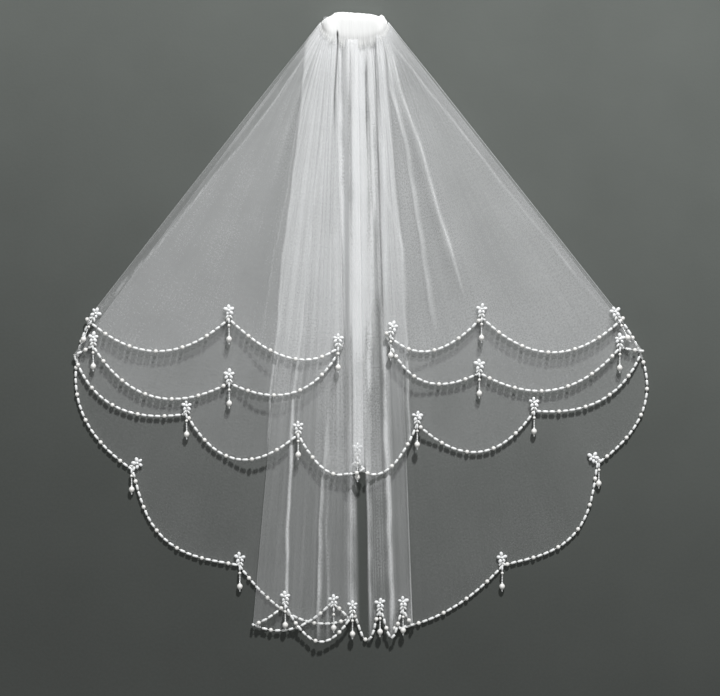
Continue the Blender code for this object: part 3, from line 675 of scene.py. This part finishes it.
leftOverFlap = {
    "piece": "leftOverFlapTulle",
    "node": "left_over_flap",
    "density": 1.4,  # of the net, seen against what lies below
    "cut": (0.37, 0.41),  # metres, as it was cut
    "cutArea": 0.079,
    "restsOn": "leftUnderFlapTulle",
    "overBundle": 1,
    "levelBefore": None,
    "rows": (
        (-0.3448, 0.0121, -90, 1.0, 3.0, 0.00, 0.040, 0, 7, 0),
        (-0.1675, 0.0146, -64, 1.5, 3.0, 0.00, 0.035, 12, 7, 0),
        (-0.0235, -0.0171, -33, 1.0, 2.0, 0.00, 0.000, 0, 0, 1),
    ),
    "finer": 10,
    "creasedRows": (0.0, 9.0),
    "creases": (
        ("leftSide", 1.2, 2.0, 2, 0.5, 1.6, 0.36, -0.02),
        ("leftWing", 0.9, 1.5, 2, 0.5, 2.0, 0.37, 0.01),
        ("leftWing", 11.0, 0.4, 6, 0.0, -0.60, 0.37, 0.06),
    ),
}
rightUnderFlap = {
    "piece": "rightUnderFlapTulle",
    "node": "right_under_flap",
    "density": 1.3,  # of the net, seen against what lies below
    "cut": (0.39, 0.44),  # metres, as it was cut
    "cutArea": 0.085,
    "restsOn": "frontTierTulle",
    "overBundle": 1,
    "levelBefore": None,
    "rows": (
        (0.0298, -0.0018, 41, 1.0, 2.0, 0.00, 0.038, -21, 7, 0),
        (0.1492, -0.0540, 66, 1.5, 2.0, 0.00, 0.038, 10, 7, 0),
        (0.3270, -0.0217, 81, 1.0, 2.0, 0.00, 0.040, 36, 2, 0),
        (0.3435, -0.0108, 87, 1.0, 1.0, 0.14, 0.040, 36, 0, 1),
    ),
    "finer": 10,
    "creasedRows": (0.0, 9.0),
    "creases": (
        ("rightFold", 1.2, 4.0, 2, 0.8, 2.2, 0.35, -0.02),
    ),
}
rightOverFlap = {
    "piece": "rightOverFlapTulle",
    "node": "right_over_flap",
    "density": 1.7,  # of the net, seen against what lies below
    "cut": (0.35, 0.41),  # metres, as it was cut
    "cutArea": 0.07,
    "restsOn": "rightUnderFlapTulle",
    "overBundle": 1,
    "levelBefore": 2.0,
    "rows": (
        (0.0298, -0.0018, 41, 1.0, 3.0, 0.00, 0.034, -8, 7, -1),
        (0.1518, 0.0163, 66, 1.5, 3.0, 0.00, 0.043, 0, 7, 0),
        (0.3283, 0.0133, 90, 1.0, 3.0, 0.00, 0.000, 0, 0, 0),
    ),
    "finer": 10,
    "creasedRows": (0.0, 9.0),
    "creases": (
        ("rightFold", 1.1, 3.2, 2, 0.6, 1.8, 0.36, 0.00),
        ("rightCurve", 5.5, 2.4, 2, 0.6, 1.8, 0.37, 0.07),
        ("rightCurve", 1.5, 1.0, 2, 0.6, 3.0, 0.37, 0.03),
        ("rightWing", 2.2, 0.9, 2, 0.5, 1.7, 0.37, 0.01),
        ("curl", 1.6, 1.6, 2, -0.5, -0.55, 0.33, 0.235),
    ),
}
stretches = (backTier, frontTier, leftUnderFlap, leftOverFlap, rightUnderFlap, rightOverFlap)


def unit(vectors):
    return vectors / np.maximum(np.linalg.norm(vectors, axis=-1, keepdims=True), 1e-12)


def resample(path, places):
    # points and directions at these distances along a polyline
    steps = np.linalg.norm(np.diff(path, axis=0), axis=1)
    total = np.concatenate(([0.0], np.cumsum(steps)))
    point = np.stack([np.interp(places, total, path[:, axis]) for axis in range(3)], axis=1)
    ahead = np.stack([np.interp(places + 0.0015, total, path[:, axis]) for axis in range(3)], axis=1)
    behind = np.stack([np.interp(places - 0.0015, total, path[:, axis]) for axis in range(3)], axis=1)
    return point, unit(ahead - behind)


def lengthOf(path):
    return float(np.linalg.norm(np.diff(path, axis=0), axis=1).sum())


def turnedShape(profile, sides, axisStretch=1.0):
    # profile of (radius, along) carried round its axis, closed by a point at each end
    angle = np.arange(sides) / sides * 2.0 * math.pi
    radius, along = np.array(profile).T
    ring = np.stack(
        (
            radius[None, :] * np.cos(angle)[:, None],
            radius[None, :] * np.sin(angle)[:, None],
            along[None, :] * axisStretch * np.ones((sides, 1)),
        ),
        axis=-1,
    )
    count = len(profile)
    points = np.vstack((ring.reshape(-1, 3), [[0.0, 0.0, along[0]], [0.0, 0.0, along[-1]]]))
    index = np.arange(sides * count).reshape(sides, count)
    after = np.roll(index, -1, axis=0)
    quads = np.stack((index[:, :-1], after[:, :-1], after[:, 1:], index[:, 1:]), axis=-1).reshape(-1, 4)
    first, last = sides * count, sides * count + 1
    lowCap = np.stack((np.full(sides, first), after[:, 0], index[:, 0]), axis=1)
    highCap = np.stack((np.full(sides, last), index[:, -1], after[:, -1]), axis=1)
    return points, quads, np.vstack((lowCap, highCap))


bead = {
    "bugle": turnedShape(((0.55, -1.0), (0.94, -0.9), (1.0, -0.3), (1.0, 0.3), (0.94, 0.9), (0.55, 1.0)), 8),
    "round": turnedShape([(math.sin(a), -math.cos(a)) for a in np.linspace(0.32, math.pi - 0.32, 6)], 10),
    "drop": turnedShape(((0.25, -1.0), (0.62, -0.8), (0.93, -0.4), (1.0, 0.0), (0.9, 0.42), (0.55, 0.82), (0.18, 1.15)), 12),
    "petal": turnedShape(((0.3, -1.0), (0.85, -0.6), (1.0, 0.0), (0.85, 0.6), (0.3, 1.0)), 8),
}


def placeMany(shape, centres, directions, halfWidth, halfLength, flat=1.0):
    # copies of one bead, its axis turned to each direction, sizes in metres
    points, quads, caps = bead[shape]
    directions = unit(np.asarray(directions, dtype=float))
    up = np.tile(np.array([[0.0, 0.0, 1.0]]), (len(directions), 1))
    side = np.cross(directions, up)
    weak = np.linalg.norm(side, axis=1) < 1e-6
    side[weak] = (1.0, 0.0, 0.0)
    side = unit(side)
    rise = np.cross(side, directions)
    halfWidth = np.broadcast_to(halfWidth, (len(directions),))
    halfLength = np.broadcast_to(halfLength, (len(directions),))
    placed = (
        np.asarray(centres)[:, None, :]
        + points[None, :, 0:1] * (side * halfWidth[:, None])[:, None, :]
        + points[None, :, 1:2] * (rise * halfWidth[:, None] * flat)[:, None, :]
        + points[None, :, 2:3] * (directions * halfLength[:, None])[:, None, :]
    )
    offset = (np.arange(len(directions)) * len(points))[:, None, None]
    return placed.reshape(-1, 3), (quads[None] + offset).reshape(-1, 4), (caps[None] + offset).reshape(-1, 3)


def tubeAlong(path, radius, sides=5):
    # a ring carried along a path, square to it, with a point closing each end
    path = np.asarray(path, dtype=float)
    along = unit(np.gradient(path, axis=0))
    side = unit(np.cross(along, np.array((0.0, 0.0, 1.0)) + 1e-3 * along[:, ::-1]))
    rise = np.cross(side, along)
    angle = np.arange(sides) / sides * 2.0 * math.pi
    ring = (
        path[None]
        + radius * np.cos(angle)[:, None, None] * side[None]
        + radius * np.sin(angle)[:, None, None] * rise[None]
    )
    count = len(path)
    points = np.vstack((ring.reshape(-1, 3), path[:1], path[-1:]))
    index = np.arange(sides * count).reshape(sides, count)
    after = np.roll(index, -1, axis=0)
    quads = np.stack((index[:, :-1], after[:, :-1], after[:, 1:], index[:, 1:]), axis=-1).reshape(-1, 4)
    lowCap = np.stack((np.full(sides, sides * count), after[:, 0], index[:, 0]), axis=1)
    highCap = np.stack((np.full(sides, sides * count + 1), index[:, -1], after[:, -1]), axis=1)
    return points, quads, np.vstack((lowCap, highCap))


def joined(name, parts, materials):
    # one piece from several (points, quads, triangles, material number)
    offset = 0
    allPoints, quadList, triList, quadSlots, triSlots = [], [], [], [], []
    for points, quads, tris, slot in parts:
        allPoints.append(points)
        quadList.append(quads + offset)
        triList.append(tris + offset)
        quadSlots.append(np.full(len(quads), slot))
        triSlots.append(np.full(len(tris), slot))
        offset += len(points)
    points = np.vstack(allPoints)
    faces = np.vstack(quadList).tolist() + np.vstack(triList).tolist()
    mesh = bpy.data.meshes.new(name)
    mesh.from_pydata(points.tolist(), [], faces)
    for material in materials:
        mesh.materials.append(material)
    mesh.polygons.foreach_set("material_index", np.concatenate(quadSlots + triSlots).astype(np.int32))
    mesh.polygons.foreach_set("use_smooth", np.ones(len(faces), dtype=bool))
    mesh.update()
    piece = bpy.data.objects.new(name, mesh)
    bpy.context.scene.collection.objects.link(piece)
    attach(piece, "root")
    return piece


edging = {
    "repeat": 0.0342,  # one pearl and three bugles
    "pearl": 0.0028,  # half its width
    "bugle": (0.00175, 0.0034),  # half width, half length
    "gap": 0.0019,
    "thread": 0.00035,
    "outside": 0.0012,  # the string lies this far outside the cloth's edge
    "floor": 0.0024,  # lowest that its middle lies
}


def hemString(points):
    # the hem, moved a little outside the cloth and kept above the floor
    hem = points[:, -1].copy()
    onward = unit(hem - points[:, -2])
    hem += onward * edging["outside"]
    hem[:, 2] = np.maximum(hem[:, 2], edging["floor"])
    keep = np.concatenate(([True], np.linalg.norm(np.diff(hem, axis=0), axis=1) > 2e-4))
    return hem[keep]


def beadedEdge(cloth, points, startAt):
    # pearls and bugles threaded in turn along the hem
    path = hemString(points)
    total = lengthOf(path)
    repeat = edging["repeat"]
    first = np.arange(-1, int(total / repeat) + 2) * repeat + startAt
    pearls = first[(first > 0.002) & (first < total - 0.002)]
    pitch = 2.0 * edging["bugle"][1] + edging["gap"]
    start = edging["pearl"] + edging["gap"] + edging["bugle"][1]
    bugles = (first[:, None] + start + np.arange(3)[None, :] * pitch).ravel()
    bugles = bugles[(bugles > 0.003) & (bugles < total - 0.003)]
    parts = []
    where, way = resample(path, pearls)
    parts.append((*placeMany("round", where, way, edging["pearl"], edging["pearl"]), 1))
    where, way = resample(path, bugles)
    size = 1.0 + 0.06 * np.sin(np.arange(len(bugles)) * 2.4)
    way = unit(way + 0.07 * np.stack((np.sin(bugles * 913.0), np.cos(bugles * 741.0), 0.0 * bugles), axis=1))
    parts.append((*placeMany("bugle", where, way, edging["bugle"][0], edging["bugle"][1] * size), 0))
    parts.append((*tubeAlong(path, edging["thread"]), 2))
    piece = joined(cloth["piece"].replace("Tulle", "Beads"), parts, (bugleWhite, pearlWhite, threadWhite))
    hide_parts("edging_" + cloth["node"])
    print("beads on", cloth["piece"], len(pearls), "pearls", len(bugles), "bugles", round(total, 3), "m")
    return piece


# motifs: how far up the flower the beads lie (or down the drop), aside, kind, half width, half length, finish
motifLook = {
    "petals": 5,
    "flower": 0.0095,  # from the hem to the flower's middle
    "petalReach": 0.0042,
    "petal": (0.0024, 0.0030),
    "centre": 0.0019,
    "neck": ((0.0016, -0.0024), (0.0016, 0.0024)),
    "neckBead": (0.0015, 0.0029),
    "oval": (0.0014, 0.0030),
    "smallPearl": (0.0098, 0.0020),  # how far down, half width
    "chain": (0.0135, 0.0218, 5, 0.00095),  # from, to, beads, half width
    "pearlAt": 0.0270,
    "pearl": 0.0037,
    "cap": (0.0013, 0.0010),
    "endAt": 0.0325,
}
# node: aside, down, flower turned clockwise, drop turned anticlockwise, layers lower, lift
motifPoses = {
    "motif_back_tier_2": (0.0, 0.0, 49, 0, 0, 0.0),
    "motif_back_tier_4": (0.0010, 0.0080, 0, 0, 1, -0.0001),
    "motif_back_tier_10": (0.0010, 0.0, -49, 0, 0, 0.0),
    "motif_left_over_flap_1": (0.004, 0.0, 30, -24, 0, 0.0),
    "motif_left_over_flap_2": (0.0, 0.0, 0, 0, 0, 0.0002),
    "motif_left_over_flap_3": (-0.006, 0.004, 0, 0, 0, 0.0004),
    "motif_right_over_flap_1": (0.007, 0.004, 15, 0, 0, -0.0007),
    "motif_right_over_flap_3": (-0.004, 0.0, -20, 28, 0, 0.0),
}
noMotif = ("motif_back_tier_1", "motif_left_under_flap_3", "motif_right_under_flap_1", "motif_back_tier_11")


def motifPiece(node, x, y, level, overBundle):
    aside, down, flowerTurn, slant, lower, lift = motifPoses.get(node, (0.0, 0.0, 0, 0, 0, 0.0))
    x, y = x + aside, y - down
    turn, hang = math.radians(flowerTurn), math.radians(slant)
    look = motifLook

    def clothAt(px, py, upTo):
        return midHeight(np.asarray(px, dtype=float), np.asarray(py, dtype=float), upTo, overBundle)

    def upward(reach, across):
        # along the flower's direction from the hem's point
        return (
            x + reach * math.sin(turn) + across * math.cos(turn),
            y + reach * math.cos(turn) - across * math.sin(turn),
        )

    def onCloth(px, py, radius):
        # a bead lying on the cloth there
        return np.stack((px, py, clothAt(px, py, level) + 0.0005 + radius), axis=-1)

    parts = []
    middle = look["flower"]
    vary = np.random.default_rng(sum(ord(letter) * (place + 1) for place, letter in enumerate(node)))
    angle = (np.arange(look["petals"]) + vary.uniform(-0.18, 0.18, look["petals"])) / look["petals"] * 2.0 * math.pi
    reach = look["petalReach"] * vary.uniform(0.88, 1.18, look["petals"])
    px, py = upward(middle + reach * np.cos(angle), reach * np.sin(angle))
    centreX, centreY = upward(middle, 0.0)
    centres = onCloth(px, py, look["petal"][0] * 0.8)
    outward = np.stack((px - centreX, py - centreY, np.zeros_like(px)), axis=1)
    size = vary.uniform(0.80, 1.12, look["petals"])
    parts.append((*placeMany("petal", centres, outward, look["petal"][0] * size, look["petal"][1] * size, 0.8), 0))
    top = onCloth(np.array([centreX]), np.array([centreY]), look["centre"] + 0.0008)
    parts.append((*placeMany("round", top, [(0.0, 0.0, 1.0)], look["centre"], look["centre"]), 1))
    reach, across = np.array(look["neck"]).T
    px, py = upward(reach, across)
    neck = onCloth(px, py, look["neckBead"][0])
    neck[:, 2] = np.maximum(neck[:, 2], edging["floor"])
    px2, py2 = upward(reach + 0.0030, across * 0.1)
    way = np.stack((px2 - px, py2 - py, np.zeros(2)), axis=1)
    parts.append((*placeMany("petal", neck, way, *look["neckBead"]), 1))

    # the drop, over the beaded edge and down to the layer below
    beside = max(float(clothAt(x, y, level)), edging["floor"])
    overEdge = beside + edging["pearl"] + look["chain"][3] + 0.0004
    pearlX, pearlY = x + look["pearlAt"] * math.sin(hang), y - look["pearlAt"] * math.cos(hang)
    levelBelow = level - 1.0 - lower
    pearlZ = look["pearl"]
    if levelBelow >= 0.0:
        pearlZ = max(float(clothAt(pearlX, pearlY, levelBelow)), 0.0012) + 0.0006 + look["pearl"]

    def downward(reach):
        fall = between(reach, 0.002, look["pearlAt"])
        z = overEdge + (pearlZ - overEdge) * fall
        return np.stack((x + reach * math.sin(hang), y - reach * math.cos(hang), z), axis=-1)

    start, end, count, half = look["chain"]
    chain = downward(np.linspace(start, end, count))
    way = unit(np.gradient(chain, axis=0))
    parts.append((*placeMany("round", chain, way, half, half * 1.15), 1))
    small = downward(np.array([look["smallPearl"][0]]))
    parts.append((*placeMany("round", small, [(0.0, 0.0, 1.0)], look["smallPearl"][1], look["smallPearl"][1]), 2))
    pair = downward(np.array([0.0040, 0.0042]))
    dropWay = unit(pair[1:] - pair[:1])
    parts.append((*placeMany("petal", pair[:1], dropWay, *look["oval"]), 0))
    pearl = downward(np.array([look["pearlAt"]]))
    flatWay = np.array([[math.sin(hang), -math.cos(hang), 0.0]])
    parts.append((*placeMany("drop", pearl, flatWay, look["pearl"], look["pearl"] * 1.05), 2))
    for side in (-1.0, 1.0):
        cap = pearl + flatWay * side * (look["pearl"] + 0.0004)
        parts.append((*placeMany("petal", cap, flatWay, *look["cap"]), 1))
    tail = pearl + flatWay * (look["endAt"] - look["pearlAt"])
    parts.append((*placeMany("round", tail, flatWay, 0.0010, 0.0012), 1))
    strand = np.vstack((top, onCloth(*(np.atleast_1d(v) for v in upward(0.004, 0.0)), 0.001), downward(np.linspace(0.0, look["endAt"], 9))))
    parts.append((*tubeAlong(strand, 0.0003), 3))
    # the floor stays below every bead
    shift = np.array((*layout["centre"], 0.0))
    moved = [(np.maximum(points + shift, (-9.0, -9.0, 0.0)) + (0.0, 0.0, lift), quads, tris, slot) for points, quads, tris, slot in parts]
    piece = joined(node.replace("motif_", "motif."), moved, (sequinWhite, bugleWhite, pearlWhite, threadWhite))
    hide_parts(node)
    return piece


def motifPieces(cloth):
    number = 0
    before = cloth["levelBefore"] or 0.0
    made = []
    for row in cloth["rows"]:
        level = max(row[4], before) if row[9] else row[4]
        before = row[4]
        if row[5] > 0.0:
            continue
        number += 1
        node = f"motif_{cloth['node']}_{number}"
        if node not in noMotif:
            made.append(motifPiece(node, row[0], row[1], level, cloth["overBundle"]))
    return made


for order, cloth in enumerate(stretches):
    sheet, points = tulleSheet(cloth)
    beads = beadedEdge(cloth, points, 0.006 + 0.0071 * order)
    [beads] + motifPieces(cloth)
print("cloth, beads and motifs made")

# heading: the stitched gathers, with their ends running down over the cloth
heading = {
    "sections": 190,
    "round": 72,
    "endAngle": 87.0,
    "gathers": 19,
    "lip": 0.019,  # how far the gathers run down over the cloth
    "fan": 38.0,  # degrees that the outermost gathers lean
    "rise": 0.0012,  # of its crest over the cloth
    "outlineX": (-0.0510, -0.0490, -0.0440, -0.0385, -0.0340, -0.0270, -0.0146, 0.0, 0.0130, 0.0190, 0.0222, 0.0250, 0.0285, 0.0330),
    "outlineY": (0.3885, 0.3915, 0.3945, 0.3968, 0.4003, 0.4013, 0.4006, 0.3996, 0.3986, 0.3970, 0.3958, 0.3984, 0.3962, 0.3890),
}


def gatheredHeading():
    # a ring for each section: up the back, over the crest, down the front, along the lip and back under it
    look = heading
    a = np.radians(np.linspace(-look["endAngle"], look["endAngle"], look["sections"]))
    bulk = np.cos(a)
    u = np.linspace(0.0, 1.0, look["sections"])
    turns = 2.0 * math.pi * look["gathers"] * (u + 0.012 * np.sin(17.0 * u) + 0.009 * np.sin(41.0 * u + 1.0))
    wave = 0.5 + (0.32 * np.sin(turns) + 0.18 * np.sin(2.3 * turns + 1.0)) * bulk
    x = layout["headingX"] + (layout["headingHalfWidth"] - 0.0006) * np.sin(a)
    highY = np.interp(x, look["outlineX"], look["outlineY"]) + 0.0006 * (wave - 0.5) * bulk
    lowY = layout["headingY"] - (layout["headingDepth"] - 0.0009) * bulk
    lean = np.radians(look["fan"]) * np.sign(a) * np.abs(a / np.radians(90.0)) ** 1.5

    def onTop(px, py, sunk):
        # above all the layers, sinking to the lowest of them between the left and the right flaps, evened out
        opening = between(px, -0.034, -0.029) * between(px, 0.0215, 0.0165)
        height = midHeight(px, py, 3.0 - 2.0 * opening * sunk, 1) + 0.0008
        return np.convolve(np.pad(height, 10, "edge"), np.full(21, 1.0 / 21.0), "valid")

    low = np.full_like(x, 0.0027)
    crest = onTop(x, lowY, 0.0) + look["rise"] * np.sqrt(bulk) + 0.0002 * wave * bulk
    tall = crest - low
    deep = highY - lowY
    keys = [
        (x, highY - 0.03 * deep, low, 1.0),
        (x, highY, low + 0.35 * tall, 1.0),
        (x, highY - 0.01 * deep, low + 0.70 * tall, 1.0),
        (x, highY - 0.09 * deep, low + 0.93 * tall, 1.0),
        (x, highY - 0.23 * deep, crest, 1.0),
        (x, highY - 0.45 * deep, onTop(x, lowY, 0.12) + 0.0014, 0.97),
        (x, highY - 0.72 * deep, onTop(x, lowY, 0.30) + 0.0011 + 0.0003 * wave, 0.84),
        (x, highY - 0.95 * deep, onTop(x, lowY, 0.46) + 0.0007 + 0.0003 * wave, 0.66),
    ]
    under = []
    reach = look["lip"] * (0.35 + 0.65 * bulk) * (0.8 + 0.4 * wave)
    for share, fade in ((0.2, 0.54), (0.4, 0.40), (0.6, 0.24), (0.8, 0.10), (1.0, 0.0)):
        px, py = x + np.sin(lean) * share * reach, lowY - np.cos(lean) * share * reach
        z = onTop(px, py, 0.5 + 0.5 * share)
        keys.append((px, py, z + 0.0002 + 0.0004 * wave * (1.0 - share), fade))
        under.insert(0, (px, py, z - 0.0003, fade))
    keys += under
    keys += [(x, lowY + 0.02 * deep, onTop(x, lowY, 0.5) - 0.0014, 0.95), (x, lowY + 0.05 * deep, low + 0.0004, 1.0)]
    control = np.stack([np.stack((px, py, z, np.full_like(x, fade)), axis=-1) for px, py, z, fade in keys], axis=1)
    # a smooth closed curve through the points of each ring
    count = control.shape[1]
    place = np.arange(look["round"]) / look["round"] * count
    base = place.astype(int)
    t = (place - base)[None, :, None]
    p0, p1, p2, p3 = (control[:, (base + shift) % count] for shift in (-1, 0, 1, 2))
    ring = 0.5 * (2.0 * p1 + (p2 - p0) * t + (2.0 * p0 - 5.0 * p1 + 4.0 * p2 - p3) * t**2 + (3.0 * p1 - p0 - 3.0 * p2 + p3) * t**3)
    slit = np.exp(-(((ring[..., 0] - lineX("leftSlit", ring[..., 1])) / 0.0013) ** 2)) * between(ring[..., 1], 0.381, 0.374)
    points = ring[..., :3] + np.array((*layout["centre"], 0.0))
    return points, np.clip(ring[..., 3], 0.0, 1.0) * (1.0 - 0.9 * slit), u[:, None] * np.ones((1, look["round"]))


def headingMaterial():
    # dense white gathers in fine ridges, thinning out in streaks along the lip
    material, tree, shader = newMaterial("gatheredTulle", (0.93, 0.935, 0.93), 0.8)
    uv = tree.nodes.new("ShaderNodeUVMap")
    uv.uv_map = "gathers"
    stretched = tree.nodes.new("ShaderNodeMapping")
    stretched.inputs["Scale"].default_value = (95.0, 3.0, 1.0)
    tree.links.new(uv.outputs["UV"], stretched.inputs["Vector"])
    noise = tree.nodes.new("ShaderNodeTexNoise")
    noise.inputs["Scale"].default_value = 1.0
    noise.inputs["Detail"].default_value = 4.0
    tree.links.new(stretched.outputs["Vector"], noise.inputs["Vector"])
    fade = tree.nodes.new("ShaderNodeAttribute")
    fade.attribute_name = "fade"
    thin = mathNode(tree, "SUBTRACT", 1.0, fade.outputs["Fac"])
    streak = mathNode(tree, "MULTIPLY", mathNode(tree, "SUBTRACT", noise.outputs["Fac"], 0.5), 1.5)
    shown = mathNode(tree, "ADD", fade.outputs["Fac"], mathNode(tree, "MULTIPLY", streak, thin))
    held = mathNode(tree, "MULTIPLY", rangeNode(tree, shown, 0.02, 0.85), rangeNode(tree, fade.outputs["Fac"], 0.0, 0.25))
    tree.links.new(held, shader.inputs["Alpha"])
    bump = tree.nodes.new("ShaderNodeBump")
    bump.inputs["Distance"].default_value = 0.0007
    bump.inputs["Strength"].default_value = 0.35
    tree.links.new(noise.outputs["Fac"], bump.inputs["Height"])
    tree.links.new(bump.outputs["Normal"], shader.inputs["Normal"])
    shader.inputs["Sheen Weight"].default_value = 0.2
    return material


headingRing, headingFade, headingAcross = gatheredHeading()
sections, ringCount = headingRing.shape[:2]
ringIndex = np.arange(sections * ringCount).reshape(sections, ringCount)
ringAfter = np.roll(ringIndex, -1, axis=1)
headingFaces = np.stack((ringIndex[:-1], ringAfter[:-1], ringAfter[1:], ringIndex[1:]), axis=-1).reshape(-1, 4)
endCaps = [ringIndex[0][::-1].tolist(), ringIndex[-1].tolist()]
headingMesh = bpy.data.meshes.new("gatheredHeading")
headingMesh.from_pydata(headingRing.reshape(-1, 3).tolist(), [], headingFaces.tolist() + endCaps)
headingMesh.polygons.foreach_set("use_smooth", np.ones(len(headingMesh.polygons), dtype=bool))
headingMesh.materials.append(headingMaterial())
fadeValues = headingMesh.attributes.new("fade", "FLOAT", "POINT")
fadeValues.data.foreach_set("value", headingFade.ravel())
corners = np.empty(len(headingMesh.loops), dtype=np.int32)
headingMesh.loops.foreach_get("vertex_index", corners)
ringLength = np.linspace(0.0, 1.0, ringCount)[None, :] * np.ones((sections, 1))
headingUv = headingMesh.uv_layers.new(name="gathers")
headingUv.uv.foreach_set("vector", np.stack((headingAcross.ravel(), ringLength.ravel()), axis=1)[corners].ravel())
headingMesh.update()
headingPiece = bpy.data.objects.new("gatheredHeading", headingMesh)
bpy.context.scene.collection.objects.link(headingPiece)
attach(headingPiece, "root")
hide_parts("gathered_heading")
print("heading made")

# comb: the solid stays, in clear plastic
combPlastic, combTree, combShader = newMaterial("clearComb", (0.86, 0.88, 0.89), 0.18)
combShader.inputs["Transmission Weight"].default_value = 0.75
combShader.inputs["IOR"].default_value = 1.49
combPlace = combTree.nodes.new("ShaderNodeTexCoord")
combGrain = surfaceDetail(combTree, combShader, combPlace.outputs["Object"], 400.0, (0.12, 0.26), 0.00005)
combTint = combTree.nodes.new("ShaderNodeMix")
combTint.data_type = "RGBA"
combTint.inputs["A"].default_value = (0.80, 0.83, 0.85, 1.0)
combTint.inputs["B"].default_value = (0.90, 0.91, 0.91, 1.0)
combTree.links.new(combGrain.outputs["Height"], combTint.inputs["Factor"])
combTree.links.new(combTint.outputs["Result"], combShader.inputs["Base Color"])
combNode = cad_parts["comb"]
combNode.data.materials.clear()
combNode.data.materials.append(combPlastic)

# stage: pale floor, and a dark card under the veil that the sheer cloth shows against
stage = {"floor": 3.0, "card": 1.3, "cardThick": 0.0015}


def cardMaterial():
    # dark grey card, with painted light: its colour is painted a little lighter towards its upper right, where the key
    # light comes from
    material, tree, shader = newMaterial("greyCard", (0.10, 0.11, 0.105), 0.85)
    place = tree.nodes.new("ShaderNodeTexCoord")
    dot = tree.nodes.new("ShaderNodeVectorMath")
    dot.operation = "DOT_PRODUCT"
    dot.inputs[1].default_value = (0.30, 1.0, 0.0)
    tree.links.new(place.outputs["Object"], dot.inputs[0])
    # painted light: the card's colour rises towards the upper right, as if more light fell there
    paintedLightAndMottle = rangeNode(tree, dot.outputs["Value"], -0.55, 0.60, 0.62, 1.36)
    cloud = groupNode(tree, fineGrain)
    cloud.inputs["Scale"].default_value = 9.0
    cloud.inputs["Strength"].default_value = 0.22
    tree.links.new(place.outputs["Object"], cloud.inputs["Vector"])
    speck = surfaceDetail(tree, shader, place.outputs["Object"], 260.0, (0.75, 0.95), 0.0001)
    speck.inputs["Strength"].default_value = 0.25
    # the painted light times the card's own mottled clouds and specks
    paintedLightAndMottle = mathNode(tree, "MULTIPLY", mathNode(tree, "MULTIPLY", paintedLightAndMottle, cloud.outputs["Value"]), speck.outputs["Value"])
    tone = tree.nodes.new("ShaderNodeMix")
    tone.data_type = "RGBA"
    tone.blend_type = "MULTIPLY"
    tone.inputs["Factor"].default_value = 1.0
    tone.inputs["A"].default_value = (0.090, 0.0985, 0.0915, 1.0)
    tree.links.new(paintedLightAndMottle, tone.inputs["B"])
    tree.links.new(tone.outputs["Result"], shader.inputs["Base Color"])
    return material


def slab(name, size, top, thick, material):
    half = size / 2.0
    corners = np.array([(x, y, z) for z in (top - thick, top) for x, y in ((-half, -half), (half, -half), (half, half), (-half, half))])
    faces = np.array(((0, 3, 2, 1), (4, 5, 6, 7), (0, 1, 5, 4), (1, 2, 6, 5), (2, 3, 7, 6), (3, 0, 4, 7)))
    piece = meshFrom(name, corners, faces, material, False)
    return piece


slab("card", stage["card"], -0.0002, stage["cardThick"], cardMaterial())
floorPaint, floorTree, floorShader = newMaterial("paleFloor", (0.72, 0.72, 0.71), 0.9)
floorPlace = floorTree.nodes.new("ShaderNodeTexCoord")
surfaceDetail(floorTree, floorShader, floorPlace.outputs["Object"], 60.0, (0.8, 0.95), 0.0001)
slab("floor", stage["floor"], -0.0002 - stage["cardThick"], 0.01, floorPaint)

# light: a key from the top of the picture, a broad soft one overhead, and a dim room
lights = (
    # name, place, size, power
    ("key", (0.60, 3.00, 2.00), 0.26, 150.0),
    ("fill", (-0.3, -0.1, 2.6), 2.4, 17.0),
)
for name, place, size, power in lights:
    lamp = bpy.data.lights.new(name, "AREA")
    lamp.shape = "DISK"
    lamp.size = size
    lamp.energy = power
    lampObject = bpy.data.objects.new(name, lamp)
    lampObject.location = place
    aim = -np.array(place) / np.linalg.norm(place)
    lampObject.rotation_euler = (math.acos(-aim[2]), 0.0, math.atan2(aim[1], aim[0]) - math.pi / 2.0)
    bpy.context.scene.collection.objects.link(lampObject)
world = bpy.data.worlds.new("room")
world.use_nodes = True
world.node_tree.nodes["Background"].inputs["Color"].default_value = (0.96, 1.0, 0.97, 1.0)
world.node_tree.nodes["Background"].inputs["Strength"].default_value = 0.12
bpy.context.scene.world = world

# camera: straight down, one picture pixel to 1.27 mm
cameraSet = {"imageWidth": 720, "millimetresPerPixel": 1.27, "distance": 3.0, "centre": (-0.0019, -0.0235)}
camera = bpy.data.cameras.new("camera")
camera.sensor_width = 36.0
widthSeen = cameraSet["imageWidth"] * cameraSet["millimetresPerPixel"] / 1000.0
camera.lens = 36.0 * cameraSet["distance"] / widthSeen
camera.clip_end = 50.0
cameraObject = bpy.data.objects.new("camera", camera)
cameraObject.location = (
    cameraSet["centre"][0] + layout["centre"][0],
    cameraSet["centre"][1] + layout["centre"][1],
    cameraSet["distance"],
)
bpy.context.scene.collection.objects.link(cameraObject)
bpy.context.scene.camera = cameraObject
bpy.context.scene.cycles.transparent_max_bounces = 40
bpy.context.scene.view_settings.view_transform = "Standard"
print("stage, light and camera set")
